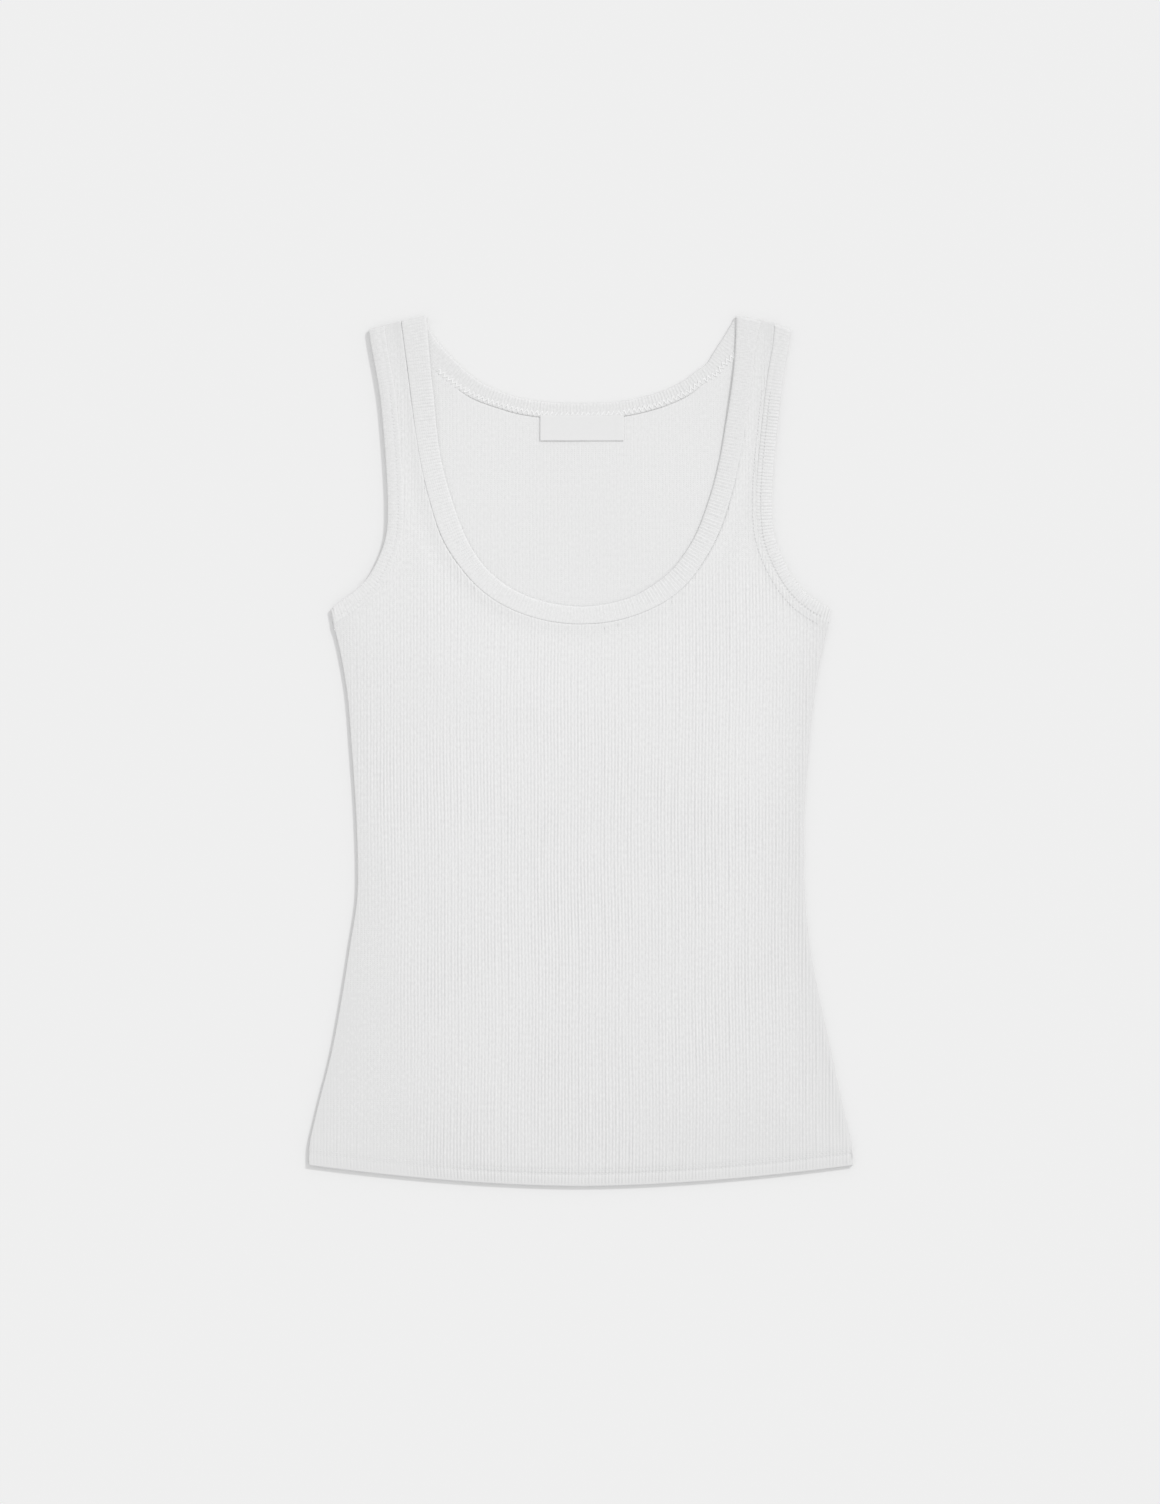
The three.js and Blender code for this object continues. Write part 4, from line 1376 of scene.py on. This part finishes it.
def add_tone_and_shade(tree, shader, white, edge_power, look):
    """Puts the tone group into a material, with the slopes for its painted edge shade and the places
    that it needs.
    """
    spot = add_node(tree, "TexCoord").outputs
    uv = add_node(tree, "UVMap", uv_map="Cloth").outputs["UV"]
    upright = add_node(tree, "SeparateXYZ", {0: spot["Normal"]}).outputs["Z"]
    slope = maths(tree, "SUBTRACT", 1.0, maths(tree, "ABSOLUTE", upright))
    inputs = {
        "Place": spot["Object"],
        "Along ribs": uv,
        "Cloth": (white, white, white, 1),
        # The slope of the cloth, for painted shade on its turned edges.
        "Edge": maths(tree, "POWER", maths(tree, "MAXIMUM", slope, 0.0), edge_power),
        # Nearness to a panel's rim, for painted shade near the rim.
        "Rim": add_node(tree, "Attribute", attribute_name="Rim").outputs["Fac"],
    }
    tone = add_node(tree, "Group", node_tree=tone_and_shade_tree)
    for key, value in (inputs | look).items():
        plug(tree, tone.inputs[key], value)
    plug(tree, shader.inputs["Base Color"], tone.outputs["Color"])
    return tone, uv


def knit_material(name, pitch, white, look):
    material, tree, shader = new_material(name, {"Sheen Weight": 0.08})
    tone, uv = add_tone_and_shade(tree, shader, white, KNIT_EDGE_SHADE_POWER, look)
    stitches = add_node(tree, "Group", node_tree=knit_stitches)
    plug(tree, stitches.inputs["Rib pitch"], pitch * MM)
    plug(tree, stitches.inputs["Place"], uv)
    plug(tree, tone.inputs["Valley"], stitches.outputs["Valley"])
    plug(tree, shader.inputs["Roughness"], tone.outputs["Roughness"])
    add_bump(tree, shader, stitches.outputs["Height"], STITCH_BUMP)
    return material


# The looks set how strong the painted shade is at edges, towards the hem, towards the shoulders and
# near the rim.
front_look = {"Edge painted shade": 0.35, "Hem painted shade": 0.46, "Shoulder painted shade": 0.3}
back_look = {"Valley painted shade": 0.1, "Streaks": 1.4}
band_look = {"Edge painted shade": 0.25, "Shoulder painted shade": 0.35}
front_finish = knit_material("rib_knit_front", RIB_PITCH, 0.88, front_look)
back_finish = knit_material("rib_knit_back", BACK_RIB_PITCH, 0.871, back_look)
band_finish = knit_material("rib_knit_band", BAND_RIB_PITCH, 0.876, band_look)
print("knit materials:", front_finish.name, back_finish.name, band_finish.name)


# %% Materials of the thread and the label
def thread_material(name, white):
    """Twisted thread: fine slanting ridges and a slight shine."""
    look = {"Roughness": 0.6, "Sheen Weight": 0.1, "Base Color": (white, white, white, 1)}
    material, tree, shader = new_material(name, look)
    inputs = {"Scale": 900.0, "Vector": add_node(tree, "TexCoord").outputs["Object"]}
    twist = add_node(tree, "TexWave", inputs, bands_direction="DIAGONAL")
    add_bump(tree, shader, twist.outputs["Fac"], TWIST_BUMP)
    return material


def satin_material():
    """Satin tape: fine weft threads that run across it, and a slight shine."""
    look = {"Roughness": 0.5, "Sheen Weight": 0.1}
    material, tree, shader = new_material("satin_tape", look)
    even = {"Streaks": 0.2, "Unevenness": 0.1}
    # The tone group also paints shade on the label's turned-down edges.
    uv = add_tone_and_shade(tree, shader, 0.865, SATIN_EDGE_SHADE_POWER, even)[1]
    inputs = {"Scale": 700.0, "Distortion": 0.6, "Vector": uv}
    weft = add_node(tree, "TexWave", inputs, bands_direction="Y")
    add_bump(tree, shader, weft.outputs["Fac"], WEFT_BUMP)
    return material


needle_thread = thread_material("needle_thread", 0.86)
looper_finish = thread_material("looper_thread", 0.96)
satin_finish = satin_material()
dressing = [
    (front, front_finish, "rib_knit", "front_panel"),
    (back, back_finish, "rib_knit", "back_panel"),
    (neck, band_finish, "rib_band", "neck_band"),
    (arms["left"], band_finish, "rib_band", "arm_band_left"),
    (arms["right"], band_finish, "rib_band", "arm_band_right"),
    (label, satin_finish, "label_tape", "label"),
    (hem_thread, needle_thread, "rib_knit", None),
    (looper_thread, looper_finish, "rib_band", None),
    (arm_threads["left"], needle_thread, "rib_band", None),
    (arm_threads["right"], needle_thread, "rib_band", None),
]
for piece, finish, slot, node in dressing:
    piece.data.materials.append(finish)
    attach(piece, "root")
    if node:
        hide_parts(node)
print("dressed:", len(dressing), "pieces")

# %% [markdown]
# ## The table, the light and the camera
#
# The table is plain and pale. The light is a plain studio light: an even soft glow from all round,
# and one soft key from the upper right, low enough to draw a thin shadow along the lower and left
# edges and to show the ribs. The camera looks straight down from high above the middle.

# %% Stage, lights and camera
floor_mesh = bpy.data.meshes.new("table_top")
HALF_TABLE = 3.0
corners = [(x * HALF_TABLE, y * HALF_TABLE, 0) for x, y in ((-1, -1), (1, -1), (1, 1), (-1, 1))]
floor_mesh.from_pydata(corners, [], [(0, 1, 2, 3)])
floor = bpy.data.objects.new("table_top", floor_mesh)
bpy.context.scene.collection.objects.link(floor)
floor_look = {"Roughness": 0.95, "Base Color": (0.9, 0.9, 0.9, 1), "Specular IOR Level": 0.0}
floor_mesh.materials.append(new_material("table_paint", floor_look)[0])

GLOW = 0.763
KEY = 1.035
KEY_HEIGHT = math.radians(37)
KEY_AROUND = math.radians(46)
KEY_WIDTH = math.radians(5)
world = bpy.data.worlds.new("studio_glow")
world.use_nodes = True
background = world.node_tree.nodes["Background"].inputs
background["Color"].default_value = (1, 1, 1, 1)
background["Strength"].default_value = GLOW
bpy.context.scene.world = world
key_data = bpy.data.lights.new("key", "SUN")
key_data.energy = KEY
key_data.angle = KEY_WIDTH
key = bpy.data.objects.new("key", key_data)
towards_key = Vector((
    math.cos(KEY_HEIGHT) * math.cos(KEY_AROUND),
    math.cos(KEY_HEIGHT) * math.sin(KEY_AROUND),
    math.sin(KEY_HEIGHT),
))
key.location = towards_key * 2
key.rotation_euler = towards_key.to_track_quat("Z", "Y").to_euler()
bpy.context.scene.collection.objects.link(key)

PHOTO_ROWS = 1504
MM_A_PIXEL = 0.72
LOOK_AT = (-0.0007, -0.0011, 0.003)
camera_data = bpy.data.cameras.new("camera")
camera_data.lens = 85
camera_data.sensor_width = 36
camera_data.sensor_fit = "AUTO"
camera = bpy.data.objects.new("camera", camera_data)
above = PHOTO_ROWS * MM_A_PIXEL * MM / camera_data.sensor_width * camera_data.lens
camera.location = Vector(LOOK_AT) + Vector((0, 0, above))
bpy.context.scene.collection.objects.link(camera)
bpy.context.scene.camera = camera
bpy.context.scene.view_settings.view_transform = "Standard"
print("camera", round(above, 3), "m above the cloth")

# %% [markdown]
#
# The area inside each panel's outline, front and back.


def area_inside(outline):
    x, y = outline.T
    return abs(np.dot(x, np.roll(y, -1)) - np.dot(y, np.roll(x, -1))) / 2 * MM * MM


front_outline = panel_outline(front_neck_seam, RIB_PITCH)[0]
back_outline = panel_outline(back_neck_seam, RIB_PITCH)[0]
print("areas:", round(area_inside(front_outline), 3), round(area_inside(back_outline), 3), "m2")
